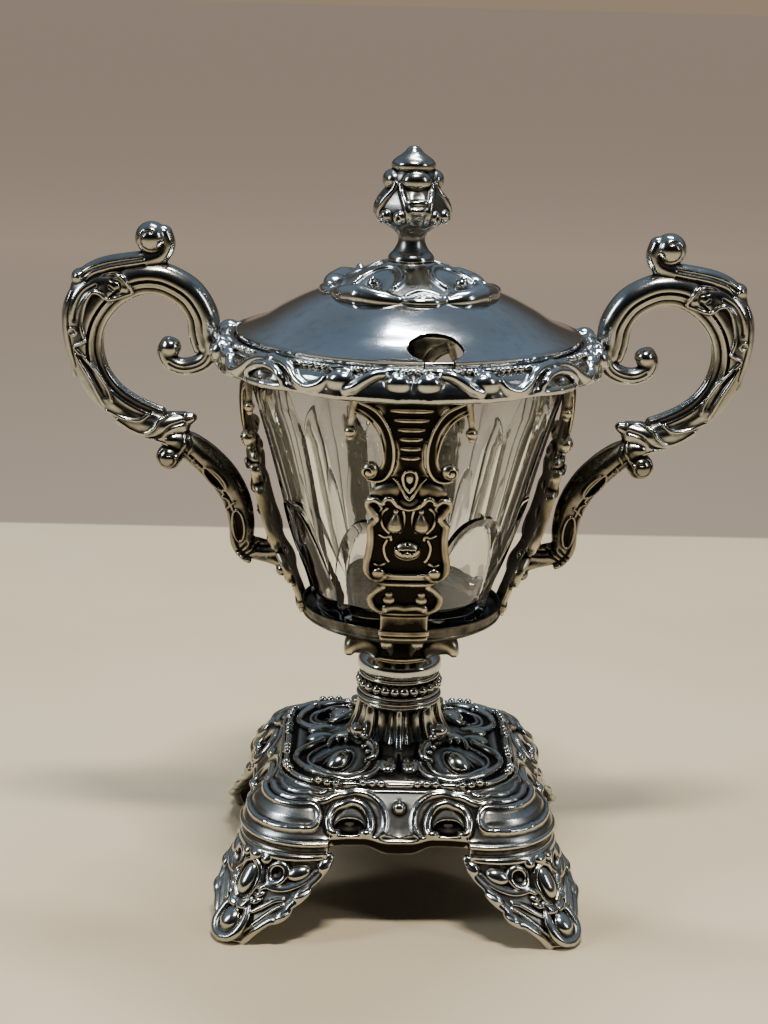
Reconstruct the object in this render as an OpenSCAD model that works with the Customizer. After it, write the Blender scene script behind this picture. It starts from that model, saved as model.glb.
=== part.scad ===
// Two-handled covered vase: a cut-glass liner in a cast silver cage, on a stem and a four-footed plinth.
// The vase stands on z = 0 with its axis on Z. The handles lie along X and the front strap faces -Y.

/* [Bowl] */
// Outer radius of the glass liner at its mouth
glass_r = 46.2; // [46:0.1:46.3]
// Thickness of the glass wall
glass_wall = 3.2; // [2.5:0.1:4]
// Height of the dish floor that the liner stands on
dish_floor_z = 86.5; // [86:0.5:87]
// Outer radius of the dish's rim
dish_r = 30.5; // [30:0.1:30.5]

/* [Rim border] */
// Outer radius of the cast border
rim_r = 57.6; // [56.5:0.1:59]
// Height of the ledge that the lid rests on
ledge_z = 171.2; // [171:0.1:171.4]
// Number of scallops round the border
rim_scallops = 16; // [12:1:20]

/* [Lid] */
// Outer radius of the lid's edge
lid_r = 50.8; // [50.6:0.1:51.5]
// Thickness of the lid's sheet
lid_sheet = 0.9; // [0.7:0.1:1]
// How far the lid is turned from the front strap, in degrees
lid_turn = 8; // [0:1:30]
// Width of the oval part of the spoon opening
spoon_w = 15.4; // [12:0.2:17]
// Depth of the oval part, towards the axis
spoon_d = 9.6; // [8:0.2:11]
// Width of the slot that leads from the spoon opening to the lid's edge
slot_w = 8; // [6:1:9]

/* [Straps] */
// Thickness of a strap's plate
strap_t = 1.8; // [1.5:0.1:2]
// Number of ribs on a strap's neck
strap_ribs = 6; // [4:1:6]

/* [Stem] */
// Number of beads round the stem's collar
collar_beads = 26; // [20:1:28]
// Radius of the tie rod
rod_r = 2.5; // [2:0.1:2.5]

/* [Plinth] */
// Distance from the axis to the centre of a corner lobe, along X and along Y
lobe_offset = 26.5; // [26:0.5:28]
// Radius of a corner lobe
lobe_r = 21; // [20:0.5:22]
// Distance from the axis to the centre of a foot's sole, along X and along Y
foot_offset = 49; // [47:0.5:50]
// Thickness of the plinth's sheet
plinth_sheet = 1.4; // [1.2:0.1:1.6]

/* [Hidden] */

$fn = 96;
hull_fn = 32;
silver = [0.75, 0.74, 0.71];
dark_silver = [0.36, 0.35, 0.32];
glass_colour = [0.85, 0.9, 0.9, 0.4];

plinth_z = 24.3;            // lower edge of the plinth's skirt
plateau_z = 43;             // top of the plinth's flat field
rod_clear = rod_r + 0.2;    // radius of the holes that the tie rod passes through
rod_head_r = 6;
rod_head_z = 84.8;          // seat of the tie rod's head, sunk in the dish's floor
collar_z = 58.6;            // foot of the bead collar
ring_z = 66.9;              // foot of the plain ring
calyx_z = 73;               // foot of the calyx
dish_z = 84;                // underside of the dish
lip_z = 163.4;              // top of the lip inside the border, which the collar ring stands on
collar_top_z = 172.3;
boss_top_z = 193.5;         // seat of the finial
finial_top_z = 226.5;
stud_r = 1.5;

// A Catmull-Rom curve through pts, with n steps to a span.
function blend4(a, b, c, d, t) =
    0.5 * (2 * b + (c - a) * t + (2 * a - 5 * b + 4 * c - d) * t * t + (3 * b - a - 3 * c + d) * t * t * t);
function curve(pts, n = 4) = concat(
    [for (i = [0:len(pts) - 2]) for (k = [0:n - 1])
        blend4(pts[max(i - 1, 0)], pts[i], pts[i + 1], pts[min(i + 2, len(pts) - 1)], k / n)],
    [pts[len(pts) - 1]]);
function reversed(pts) = [for (i = [len(pts) - 1:-1:0]) pts[i]];
function shifted(pts, d) = [for (p = pts) p + d];

// ---- profiles, as [radius, height] ----
glass_outside = curve([
    [25, dish_floor_z], [27.2, 90], [29.4, 97], [33.3, 108], [37.2, 122], [41.2, 137], [45.2, 151],
    [glass_r, 157], [glass_r, 171.4]
], 3);
strap_inside = concat([[dish_r, dish_z + 0.8]], curve([
    [dish_r, 90.2], [32, 94.6], [34.6, 102], [39.4, 113.5], [42.8, 127], [45.6, 140], [47.3, 150], [47.6, 162.4]
], 3));
lid_outside = concat([[stud_r + 0.1, 190], [7, 190]], curve([
    [7, 190], [14, 188.6], [22, 186], [30.1, 183], [37.5, 179.3], [43, 176], [48.4, 173.6], [lid_r, 173]
], 3));

module ring(inner, outer, low, high) {
    difference() {
        translate([0, 0, low]) cylinder(r = outer, h = high - low);
        translate([0, 0, low - 1]) cylinder(r = inner, h = high - low + 2);
    }
}

// ---- plinth and feet ----
module corners() {
    for (x = [-1, 1]) for (y = [-1, 1]) translate([x * lobe_offset, y * lobe_offset, 0]) children();
}

module sides() {
    for (a = [0:90:270]) rotate([0, 0, a]) translate([0, -30, 0]) children();
}

// The moulded edge of a lobe of radius r, let in by t all over.
module lobe_solid(r, t) {
    low = t > 0 ? plinth_z - 1 : plinth_z;
    rotate_extrude() polygon(concat(
        [[0, low], [r - t, low], [r - t, plinth_z + 3.2 - t / 2]],
        curve([[r - 1.5 - t, plinth_z + 4.6 - t / 2], [r - 3 - t, 34 - t / 2], [r - 6 - t, 39 - t / 2],
               [r - 9.5 - t, plateau_z - t]], 3),
        [[0, plateau_z - t]]));
}

module plinth_body(t) {
    corners() lobe_solid(lobe_r, t);
    sides() lobe_solid(16, t);
    low = t > 0 ? plinth_z - 1 : plinth_z;
    translate([0, 0, low]) cylinder(r = 36 - t, h = plateau_z - t - low);
}

module plinth() {
    color(silver) difference() {
        union() {
            plinth_body(0);
            for (x = [-1, 1]) for (y = [-1, 1]) translate([x * 18.5, y * 18.5, plateau_z - 2]) sphere(r = 5.2);
        }
        plinth_body(plinth_sheet);
        translate([0, 0, plateau_z - 10]) cylinder(r = rod_clear, h = 20);
    }
}

// A splayed foot under the corner lobe in the +X +Y direction: a curved wing that follows the lobe's edge and leans
// out to a round toe with a flat sole.
module foot(turn) {
    color(silver) rotate([0, 0, turn]) difference() {
        hull() {
            translate([foot_offset, foot_offset, 0]) cylinder(r1 = 4.6, r2 = 6, h = 5, $fn = hull_fn);
            translate([31, 31, plinth_z - 1.2]) cylinder(r = 14.5, h = 1.2, $fn = hull_fn);
        }
        translate([lobe_offset, lobe_offset, -1]) cylinder(r1 = 27, r2 = 16.2, h = plinth_z + 2);
    }
}

// ---- stem ----
module stem_trumpet() {
    color(dark_silver) rotate_extrude() polygon(concat(
        [[rod_clear, plateau_z], [17, plateau_z]],
        curve([[16.5, 44.2], [12.6, 47], [10.8, 51], [10.6, 54], [11.6, 57], [12.4, collar_z]], 3),
        [[rod_clear, collar_z]]));
}

module bead_collar() {
    color(silver) {
        rotate_extrude() polygon([
            [rod_clear, collar_z], [12.6, collar_z], [12.9, 59.4], [12.6, 60.4], [11.8, 61], [11.8, 66],
            [12.3, ring_z], [rod_clear, ring_z]]);
        for (i = [0:collar_beads - 1])
            rotate([0, 0, i * 360 / collar_beads]) translate([12.2, 0, 63.6]) sphere(r = 1.35, $fn = 24);
    }
}

module stem_ring() {
    color(silver) rotate_extrude() polygon(concat(
        [[rod_clear, ring_z], [11.4, ring_z]],
        curve([[11.8, 67], [12.8, 68.3], [12.9, 70.2], [11.9, 72], [10.9, calyx_z]], 3),
        [[rod_clear, calyx_z]]));
}

module calyx() {
    color(dark_silver) {
        rotate_extrude() polygon(concat(
            [[rod_clear, calyx_z], [10.6, calyx_z]],
            curve([[10.9, 74], [11.4, 77], [14, 80.5], [19.5, 83], [22, dish_z]], 3),
            [[rod_clear, dish_z]]));
        for (a = [45:90:315]) rotate([0, 0, a]) hull() {
            translate([16, 0, 79.5]) cylinder(r1 = 2, r2 = 5, h = 4.5, $fn = hull_fn);
            translate([21.6, 0, 77.4]) sphere(r = 1.2, $fn = hull_fn);
        }
    }
}

module cage_dish() {
    color(silver) rotate_extrude() polygon([
        [rod_clear, dish_z], [24, dish_z], [28.6, dish_z + 0.8], [dish_r - 0.6, dish_z + 2.4], [dish_r, 87.6],
        [dish_r, 90], [dish_r - 0.8, 90], [dish_r - 1.2, 88], [27, dish_floor_z],
        [rod_head_r + 0.2, dish_floor_z], [rod_head_r + 0.2, rod_head_z], [rod_clear, rod_head_z]]);
}

// ---- tie rod through the stem ----
module tie_rod() {
    color(silver) {
        translate([0, 0, 33]) cylinder(r = rod_r, h = rod_head_z - 33);
        translate([0, 0, rod_head_z]) cylinder(r = rod_head_r, h = 1.4);
    }
}

module tie_washer() {
    color(silver) ring(rod_r, 9, plateau_z - plinth_sheet - 1.2, plateau_z - plinth_sheet);
}

module tie_nut() {
    nut_top = plateau_z - plinth_sheet - 1.2;
    color(silver) difference() {
        translate([0, 0, nut_top - 4]) cylinder(d = 9.2, h = 4, $fn = 6);
        translate([0, 0, nut_top - 5]) cylinder(r = rod_r, h = 6);
    }
}

// ---- straps ----
// The strap's outline, seen from the front, as half widths at heights; the other half mirrors it.
strap_half = [
    [12, 162.4], [11.4, 158], [6.6, 155], [5, 150], [4, 144.5], [5, 143], [11.2, 141], [11.8, 137.5], [9, 130.5],
    [10.6, 127], [11.6, 118], [11.8, 113.6], [8.4, 110.6], [7.6, 108.8], [9.4, 107], [10.8, 102.5], [9.4, 99], [7.6, 97.6],
    [7.4, dish_z + 0.8]
];

module strap_outline() {
    polygon(concat(strap_half, [for (p = reversed(strap_half)) [-p[0], p[1]]]));
}

// One side's C-scroll, as a ring cut open, with a ball on its lower end.
module c_scroll(side) {
    translate([side * 11.2, 150.8]) {
        difference() {
            circle(r = 8);
            circle(r = 6);
            translate([side * 8.4, -9 + 4]) square([8, 12], center = true);
        }
        translate([side * 3.2, -5.6]) circle(r = 2.2);
    }
}

// A slab that follows the strap's profile from t0 to t1 outside the strap's inner face.
module strap_layer(t0, t1) {
    rotate_extrude() polygon(concat(shifted(strap_inside, [t0, 0]), reversed(shifted(strap_inside, [t1, 0]))));
}

module front_prism(depth = 60) {
    rotate([90, 0, 0]) linear_extrude(height = depth) children();
}

module strap(turn) {
    color(dark_silver) rotate([0, 0, turn]) {
        intersection() {
            strap_layer(0, strap_t);
            front_prism() union() {
                strap_outline();
                for (side = [-1, 1]) c_scroll(side);
            }
        }
        intersection() {
            strap_layer(strap_t, strap_t + 1.6);
            front_prism() {
                for (i = [0:strap_ribs - 1]) translate([0, 158.6 - i * 2.7]) square([9 - i * 0.9, 1.3], center = true);
                difference() {
                    translate([0, 124.5]) square([21, 24], center = true);
                    translate([0, 124.5]) square([16.5, 19], center = true);
                }
            }
        }
        for (side = [-1, 1]) translate([side * 3.6, -45.6, 126]) sphere(r = 2.6, $fn = 48);
        translate([0, -42.6, 117.5]) sphere(r = 3.2, $fn = 48);
    }
}

// ---- rim border ----
module rim_border() {
    color(silver) {
        rotate_extrude() polygon([
            [glass_r + 0.5, 162.4], [56, 162.4], [rim_r - 0.6, 163], [rim_r, 164.4], [rim_r, 166.4], [rim_r - 1.2, 168],
            [55, 169.6], [52.8, 170], [52.6, ledge_z + 0.4], [51.8, ledge_z + 0.4], [51.6, ledge_z], [48.6, ledge_z],
            [48.6, lip_z], [glass_r + 0.5, lip_z]]);
        for (i = [0:rim_scallops - 1])
            rotate([0, 0, (i + 0.5) * 360 / rim_scallops]) translate([rim_r - 3.4, 0, 162.9])
                cylinder(r = 4.6, h = 4.2, $fn = 48);
    }
}

// ---- handles, in the XZ plane on the +X side, as [x, z, half thickness] ----
loop_path = [
    [57.8, 166.4, 3.6], [58.6, 171, 4.2], [61.6, 179, 4.4], [66.6, 185.4, 4.4], [74, 188.2, 4.5], [83, 186.8, 5],
    [90.6, 181, 5.6], [94.8, 172, 5.8], [94.6, 162, 5.6], [91, 154, 5.2], [85, 148.4, 4.6], [78, 144.6, 4.2],
    [71, 143.6, 3.8], [65.6, 145, 2]
];
volute_path = [
    [86, 189.4, 1.6], [80, 191.6, 2], [73.4, 194, 2.2], [71.6, 198.6, 2], [74.6, 201.6, 1.9], [78, 200, 2], [77.6, 197.6, 2.2]
];
inner_scroll_path = [[59, 165, 1.7], [63.2, 162.4, 1.8], [68, 161.4, 1.8], [71.6, 163, 1.9], [70.6, 166, 2.3]];
scroll_path = [
    [70.6, 139.4, 2.6], [66.4, 136.6, 3.6], [60.6, 133.2, 3.8], [55.6, 127.6, 3.7], [51.6, 120.6, 3.6],
    [49.8, 113, 3.5], [49.2, 107.6, 3.2], [46.6, 104.4, 2.5], [43.2, 103.7, 2], [36.6, 103.5, 2]
];
handle_sides = 12;

// A tube with oval rings along a path in the XZ plane. flat is its width along Y over its thickness.
module oval_tube(path, flat = 0.95, steps = 4) {
    line = curve(path, steps);
    count = len(line);
    points = [for (i = [0:count - 1]) let (
        d = line[min(i + 1, count - 1)] - line[max(i - 1, 0)],
        side = [d[1], -d[0]] / norm([d[0], d[1]])
    ) for (k = [0:handle_sides - 1]) let (a = k * 360 / handle_sides) [
        line[i][0] + side[0] * line[i][2] * cos(a),
        line[i][2] * flat * sin(a),
        line[i][1] + side[1] * line[i][2] * cos(a)
    ]];
    walls = [for (i = [0:count - 2]) for (k = [0:handle_sides - 1]) let (
        a = i * handle_sides + k, b = i * handle_sides + (k + 1) % handle_sides
    ) each [[b, a, a + handle_sides], [b, a + handle_sides, b + handle_sides]]];
    last = (count - 1) * handle_sides;
    caps = [
        [for (k = [0:handle_sides - 1]) k],
        [for (k = [handle_sides - 1:-1:0]) last + k]
    ];
    polyhedron(points, concat(walls, caps));
}

module handle_loop(side) {
    color(silver) mirror([side < 0 ? 1 : 0, 0, 0]) {
        difference() {
            oval_tube(loop_path);
            cylinder(r = rim_r, h = 200);
        }
        oval_tube(volute_path);
        oval_tube(inner_scroll_path);
        translate([77.4, 0, 198.4]) rotate([90, 0, 0]) cylinder(r = 2.9, h = 5.6, center = true, $fn = 48);
    }
}

module handle_scroll(side) {
    color(silver) mirror([side < 0 ? 1 : 0, 0, 0]) {
        oval_tube(scroll_path);
        translate([71.6, 0, 134.4]) sphere(r = 3.9, $fn = 48);
    }
}

// ---- liner and collar ----
module glass_liner() {
    inside = [for (p = glass_outside) if (p[1] > dish_floor_z + 6) [p[0] - glass_wall, p[1]]];
    color(glass_colour) rotate_extrude() polygon(concat(
        [[0, dish_floor_z]], glass_outside, reversed(inside), [[0, dish_floor_z + 6]]));
}

module collar_ring() {
    color(silver) ring(glass_r + 0.4, glass_r + 1.6, lip_z, collar_top_z);
}

// ---- lid ----
// The spoon opening: an oval hole through the dome, and a slot from it to the lid's edge.
module spoon_opening() {
    translate([0, -43.4, 160]) {
        for (side = [-1, 1]) translate([side * (spoon_w - spoon_d) / 2, 0, 0]) cylinder(d = spoon_d, h = 30);
        translate([-(spoon_w - spoon_d) / 2, -spoon_d / 2, 0]) cube([spoon_w - spoon_d, spoon_d, 30]);
        translate([-slot_w / 2, -16, 0]) cube([slot_w, 16, 30]);
    }
}

module lid_dome() {
    color(silver) rotate([0, 0, lid_turn]) difference() {
        rotate_extrude() polygon(concat(lid_outside, reversed(shifted(lid_outside, [0, -lid_sheet]))));
        spoon_opening();
    }
}

module lid_skirt() {
    top = [for (p = lid_outside) if (p[0] > 49) p - [0, lid_sheet]];
    color(silver) rotate([0, 0, lid_turn]) difference() {
        rotate_extrude() polygon(concat([[top[0][0], ledge_z]], top, [[lid_r, ledge_z]]));
        spoon_opening();
    }
}

module lid_boss() {
    under = [for (p = lid_outside) if (p[0] <= 27) p];
    color(silver) rotate([0, 0, lid_turn]) difference() {
        rotate_extrude() polygon(concat(
            under,
            curve([[27.6, 184.4], [26.6, 186.6], [23.4, 188.4], [19.4, 188.8], [12, 190.6], [8, 192.6]], 3),
            [[6.9, boss_top_z], [stud_r + 0.1, boss_top_z]]));
        for (a = [45:90:315]) rotate([0, 0, a]) translate([16.4, 0, 195.8]) sphere(r = 7);
    }
}

module finial() {
    color(dark_silver) rotate_extrude() polygon(concat(
        [[stud_r, boss_top_z], [6.4, boss_top_z]],
        curve([[6.7, 194.6], [6, 196], [4.2, 199.4], [4.2, 201.6], [7, 204.4], [11, 207.6], [11.4, 209.6], [9, 213],
               [8.7, 216], [8.2, 218.4], [6.6, 219.4], [6.4, 221], [3.6, 224.2], [1.6, 226]], 3),
        [[0, finial_top_z], [0, 206], [stud_r, 206]]));
}

module finial_stud() {
    color(silver) translate([0, 0, 182]) cylinder(r = stud_r, h = 24);
}

module finial_washer() {
    color(silver) ring(stud_r, 4.6, 190 - lid_sheet - 0.8, 190 - lid_sheet);
}

module finial_nut() {
    nut_top = 190 - lid_sheet - 0.8;
    color(silver) difference() {
        translate([0, 0, nut_top - 2.6]) cylinder(d = 6.2, h = 2.6, $fn = 6);
        translate([0, 0, nut_top - 4]) cylinder(r = stud_r, h = 6);
    }
}

plinth();
foot(0);  // foot_back_right
foot(90);  // foot_back_left
foot(180);  // foot_front_left
foot(270);  // foot_front_right
stem_trumpet();
bead_collar();
stem_ring();
calyx();
cage_dish();
tie_rod();
tie_washer();
tie_nut();
strap(0);  // strap_front
strap(90);  // strap_right
strap(180);  // strap_back
strap(270);  // strap_left
rim_border();
handle_loop(-1);  // handle_left_loop
handle_scroll(-1);  // handle_left_scroll
handle_loop(1);  // handle_right_loop
handle_scroll(1);  // handle_right_scroll
glass_liner();
collar_ring();
lid_dome();
lid_skirt();
lid_boss();
finial();
finial_stud();
finial_washer();
finial_nut();
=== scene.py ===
"""A two-handled covered jam vase: cast and polished silver round a cut-glass liner.

The cast pieces are modelled like clay, as distance fields in millimetres that strokes and blobs are blended into.
"""
import math

import bpy
import numpy as np
import openvdb

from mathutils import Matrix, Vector


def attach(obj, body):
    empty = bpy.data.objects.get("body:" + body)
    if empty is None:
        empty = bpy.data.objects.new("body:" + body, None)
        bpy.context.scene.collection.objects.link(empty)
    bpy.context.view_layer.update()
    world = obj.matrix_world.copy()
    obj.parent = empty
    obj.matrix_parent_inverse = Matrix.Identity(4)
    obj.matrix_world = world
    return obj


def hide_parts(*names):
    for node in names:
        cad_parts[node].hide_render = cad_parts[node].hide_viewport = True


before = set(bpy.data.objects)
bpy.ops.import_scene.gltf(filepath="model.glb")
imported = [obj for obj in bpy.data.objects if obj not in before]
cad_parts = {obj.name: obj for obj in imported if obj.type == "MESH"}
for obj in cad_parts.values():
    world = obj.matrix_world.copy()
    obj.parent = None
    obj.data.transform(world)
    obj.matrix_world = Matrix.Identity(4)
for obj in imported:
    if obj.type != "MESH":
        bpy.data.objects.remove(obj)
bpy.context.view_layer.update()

MM = 0.001
FAR = 1e3
COARSE = 1.0
SIDES = {"right": 1, "left": -1}


# ---------------------------------------------------------------- curves
def spline(points, step=0.5):
    """A Catmull-Rom curve through the points, with a sample about every step millimetres."""
    p = np.array(points, float)
    out = []
    for i in range(len(p) - 1):
        a, b, c, d = p[max(i - 1, 0)], p[i], p[i + 1], p[min(i + 2, len(p) - 1)]
        count = max(2, int(np.linalg.norm(c[:3] - b[:3]) / step) + 1)
        t = (np.arange(count) / count)[:, None]
        out.append(0.5 * (2 * b + (c - a) * t + (2 * a - 5 * b + 4 * c - d) * t ** 2
                          + (3 * b - a - 3 * c + d) * t ** 3))
    return np.vstack(out + [p[-1:]])


def smooth_step(x, low, high):
    """0 below low, 1 above high, and smooth between."""
    t = np.clip((x - low) / (high - low), 0, 1)
    return t * t * (3 - 2 * t)


def bump(x, centre, half):
    """A smooth bell, 1 at the centre and 0 past centre plus or minus half."""
    t = np.clip(np.abs(x - centre) / half, 0, 1)
    return 0.5 + 0.5 * np.cos(np.pi * t)


# ---------------------------------------------------------------- clay
class Clay:
    """A signed distance field on a grid, negative inside. The axes in mirror hold only their positive half."""

    def __init__(self, low, high, voxel, mirror=""):
        self.voxel = voxel * COARSE
        self.mirror = mirror
        self.axes = [np.arange(0.0 if axis in mirror else lo, hi + self.voxel, self.voxel)
                     for axis, lo, hi in zip("xyz", low, high)]
        self.field = np.full([len(a) for a in self.axes], FAR)

    def window(self, low, high):
        """The slices of the grid between two corners, and the coordinates there."""
        cuts = tuple(slice(*np.searchsorted(a, (lo, hi))) for a, lo, hi in zip(self.axes, low, high))
        coords = [a[c].reshape([-1 if i == j else 1 for j in range(3)])
                  for i, (a, c) in enumerate(zip(self.axes, cuts))]
        return cuts, coords

    def merge(self, cuts, distance, blend, carve=False):
        old = self.field[cuts]
        if old.size == 0:
            return
        if carve:
            old, distance = -old, distance
        h = np.clip(0.5 + 0.5 * (old - distance) / blend, 0, 1)
        new = old + (distance - old) * h - blend * h * (1 - h)
        self.field[cuts] = -new if carve else new

    def shape(self, low, high, distance, blend=0.5, carve=False):
        """Blends in any shape: distance(x, y, z) is its signed distance between the two corners."""
        cuts, coords = self.window(np.array(low) - blend, np.array(high) + blend)
        if self.field[cuts].size:
            self.merge(cuts, np.broadcast_to(distance(*coords), self.field[cuts].shape), blend, carve)

    def blob(self, centre, radii, turn=None, blend=0.5, carve=False):
        """Blends in an ellipsoid. turn is a 3 by 3 matrix whose rows are the ellipsoid's axes."""
        c, r = np.array(centre, float), np.array(radii, float) * np.ones(3)
        reach = r.max() + blend + 2 * self.voxel
        cuts, (x, y, z) = self.window(c - reach, c + reach)
        if not self.field[cuts].size:
            return
        turn = np.eye(3) if turn is None else np.array(turn, float)
        local = [(x - c[0]) * m[0] + (y - c[1]) * m[1] + (z - c[2]) * m[2] for m in turn]
        k0 = np.sqrt(sum((v / s) ** 2 for v, s in zip(local, r)))
        k1 = np.sqrt(sum((v / s ** 2) ** 2 for v, s in zip(local, r))) + 1e-9
        self.merge(cuts, k0 * (k0 - 1) / k1, blend, carve)

    def stroke(self, points, blend=0.5, squash=(1, 1, 1), carve=False, smooth=True, reach=1.0):
        """Blends in a tapered tube along points of (x, y, z, r). squash thins it along an axis by that factor."""
        s = np.array(squash, float)
        p = spline(points, max(0.35, self.voxel)) if smooth else np.array(points, float)
        pad = p[:, 3].max() + blend + 2 * self.voxel + reach * 0
        cuts, (x, y, z) = self.window(p[:, :3].min(0) - pad, p[:, :3].max(0) + pad)
        if not self.field[cuts].size:
            return
        near = np.full(self.field[cuts].shape, FAR)
        x, y, z = x * s[0], y * s[1], z * s[2]
        ax, ay, az = x.ravel(), y.ravel(), z.ravel()
        for a, b in zip(p[:-1], p[1:]):
            low = (np.minimum(a[:3], b[:3]) - pad) * s
            high = (np.maximum(a[:3], b[:3]) + pad) * s
            w = tuple(slice(*np.searchsorted(v, (lo, hi))) for v, lo, hi in zip((ax, ay, az), low, high))
            dx, dy, dz = x[w[0]] - a[0] * s[0], y[:, w[1]] - a[1] * s[1], z[:, :, w[2]] - a[2] * s[2]
            e = (b[:3] - a[:3]) * s
            t = np.clip((dx * e[0] + dy * e[1] + dz * e[2]) / (e @ e + 1e-12), 0, 1)
            d = np.sqrt((dx - e[0] * t) ** 2 + (dy - e[1] * t) ** 2 + (dz - e[2] * t) ** 2)
            d -= a[3] + (b[3] - a[3]) * t
            np.minimum(near[w], d, out=near[w])
        self.merge(cuts, near, blend, carve)

    def drape(self, points, axis=1, lift=0.0, smooth=2.0):
        """Lays points of (u, v, r) on the clay, seen from the positive end of an axis: a stroke that follows it."""
        others = [i for i in range(3) if i != axis]
        p = spline(points, max(0.4, self.voxel)) if len(points) > 1 else np.array(points, float)
        index = [np.clip(np.searchsorted(self.axes[i], p[:, k]), 0, len(self.axes[i]) - 1) for k, i in enumerate(others)]
        columns = np.moveaxis(self.field, axis, -1)[index[0], index[1]]
        inside = columns[:, ::-1] < 0
        found = inside.any(1)
        top = columns.shape[1] - 1 - inside.argmax(1)
        top = np.where(found, top, np.median(top[found]) if found.any() else 0).astype(int)
        above = np.minimum(top + 1, columns.shape[1] - 1)
        rows = np.arange(len(p))
        a, b = columns[rows, top], columns[rows, above]
        height = self.axes[axis][top] + self.voxel * np.clip(a / (a - b + 1e-9), 0, 1)
        if len(p) > 6:
            width = max(1, int(smooth / max(0.4, self.voxel)))
            kernel = np.ones(2 * width + 1) / (2 * width + 1)
            height = np.convolve(np.pad(height, width, "edge"), kernel, "valid")
        out = np.zeros((len(p), 4))
        out[:, others[0]], out[:, others[1]], out[:, 3] = p[:, 0], p[:, 1], p[:, 2]
        out[:, axis] = height + lift * p[:, 2]
        return out

    def mesh(self):
        """The surface, as points in millimetres and quads."""
        field, origin = self.field, [a[0] for a in self.axes]
        for i, axis in enumerate("xyz"):
            if axis in self.mirror:
                rest = np.flip(np.delete(field, 0, i), i)
                field = np.concatenate([rest, field], i)
                origin[i] = -self.axes[i][-1]
        grid = openvdb.FloatGrid(FAR)
        grid.copyFromArray(np.clip(field, -3 * self.voxel, 3 * self.voxel).astype(np.float32))
        points, quads = grid.convertToQuads()
        points = points.astype(float) * self.voxel + origin
        quads = quads.astype(np.int64)
        return points, orient(points, quads)


def orient(points, faces):
    """The faces, turned over if their normals point inwards."""
    a, b, c = points[faces[:, 0]], points[faces[:, 1]], points[faces[:, 2]]
    volume = np.einsum("ij,ij->i", a, np.cross(b, c)).sum()
    if faces.shape[1] == 4:
        d = points[faces[:, 3]]
        volume += np.einsum("ij,ij->i", a, np.cross(c, d)).sum()
    return faces if volume > 0 else faces[:, ::-1]


# ---------------------------------------------------------------- meshes
def vertex_normals(points, faces):
    """The unit normal at each point, from the faces round it."""
    normal = np.zeros_like(points)
    across = np.cross(points[faces[:, 2]] - points[faces[:, 0]], points[faces[:, -1]] - points[faces[:, 1]])
    for i in range(faces.shape[1]):
        for k in range(3):
            normal[:, k] += np.bincount(faces[:, i], across[:, k], len(points))
    return normal / (np.linalg.norm(normal, axis=1, keepdims=True) + 1e-12)


def relief_height(points, faces, rounds):
    """How far each point stands above the surface averaged over that many rings of neighbours, in millimetres."""
    edges = np.vstack([faces[:, [i, (i + 1) % faces.shape[1]]] for i in range(faces.shape[1])])
    edges = np.vstack([edges, edges[:, ::-1]])
    count = np.bincount(edges[:, 0], minlength=len(points))[:, None]
    flat = points.copy()
    for _ in range(rounds):
        flat = np.stack([np.bincount(edges[:, 0], flat[edges[:, 1], k], len(points)) for k in range(3)], 1) / count
    return np.einsum("ij,ij->i", points - flat, vertex_normals(points, faces))


def cavity_of(points, faces):
    """0 in deep recesses, 0.5 on plain surface and 1 on high relief, from the relief at two scales."""
    fine = relief_height(points, faces, max(2, int(10 / COARSE ** 2)))
    broad = relief_height(points, faces, max(6, int(60 / COARSE ** 2)))
    return 0.5 + np.tanh(fine * 4.0) * 0.28 + np.tanh(broad * 1.3) * 0.3


def add_piece(name, points, faces, nodes, body, material, cavity=None, sharp=None, normals=None):
    """Makes the mesh object, with the cavity attribute that its material reads."""
    mesh = bpy.data.meshes.new(name)
    if isinstance(faces, np.ndarray):
        mesh.vertices.add(len(points))
        mesh.vertices.foreach_set("co", (np.array(points) * MM).ravel())
        mesh.loops.add(faces.size)
        mesh.loops.foreach_set("vertex_index", faces.ravel().astype(np.int32))
        mesh.polygons.add(len(faces))
        mesh.polygons.foreach_set("loop_start", np.arange(0, faces.size, faces.shape[1], dtype=np.int32))
        mesh.update(calc_edges=True)
    else:
        mesh.from_pydata([tuple(p) for p in np.array(points) * MM], [], faces)
    if cavity is None:
        cavity = cavity_of(points, faces)
    attribute = mesh.attributes.new("cavity", "FLOAT", "POINT")
    attribute.data.foreach_set("value", np.clip(cavity * np.ones(len(points)), 0, 1).astype(np.float32))
    mesh.validate()
    piece = bpy.data.objects.new(name, mesh)
    bpy.context.scene.collection.objects.link(piece)
    mesh.polygons.foreach_set("use_smooth", [True] * len(mesh.polygons))
    if sharp:
        mesh.set_sharp_from_angle(angle=math.radians(sharp))
    if normals is not None:
        mesh.normals_split_custom_set_from_vertices(normals)
    mesh.materials.append(material)
    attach(piece, body)
    if nodes:
        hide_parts(*nodes)
    return piece


def sculpt(clay, name, nodes, body, material, warp=None):
    """Turns clay into a piece. warp moves its points, for relief that is modelled flat and then bent."""
    points, faces = clay.mesh()
    if warp:
        points = warp(points)
        faces = orient(points, faces)
    return add_piece(name, points, faces, nodes, body, material)


def lathe(profile, turns=256, radius=None):
    """A closed solid of revolution, from a profile of (r, z) points. radius(r, z, angle) may vary the radius."""
    p = np.array(profile, float)
    angle = np.arange(turns) * 2 * math.pi / turns
    r, a = np.meshgrid(p[:, 0], angle, indexing="ij")
    z = np.broadcast_to(p[:, 1][:, None], r.shape)
    if radius:
        r = radius(r, z, a)
    points = np.stack([r * np.cos(a), r * np.sin(a), z], -1).reshape(-1, 3)
    i, j = np.meshgrid(np.arange(len(p)), np.arange(turns), indexing="ij")
    k, m = (i + 1) % len(p), (j + 1) % turns
    faces = np.stack([i * turns + j, i * turns + m, k * turns + m, k * turns + j], -1).reshape(-1, 4)
    return points, orient(points, faces)


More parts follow.
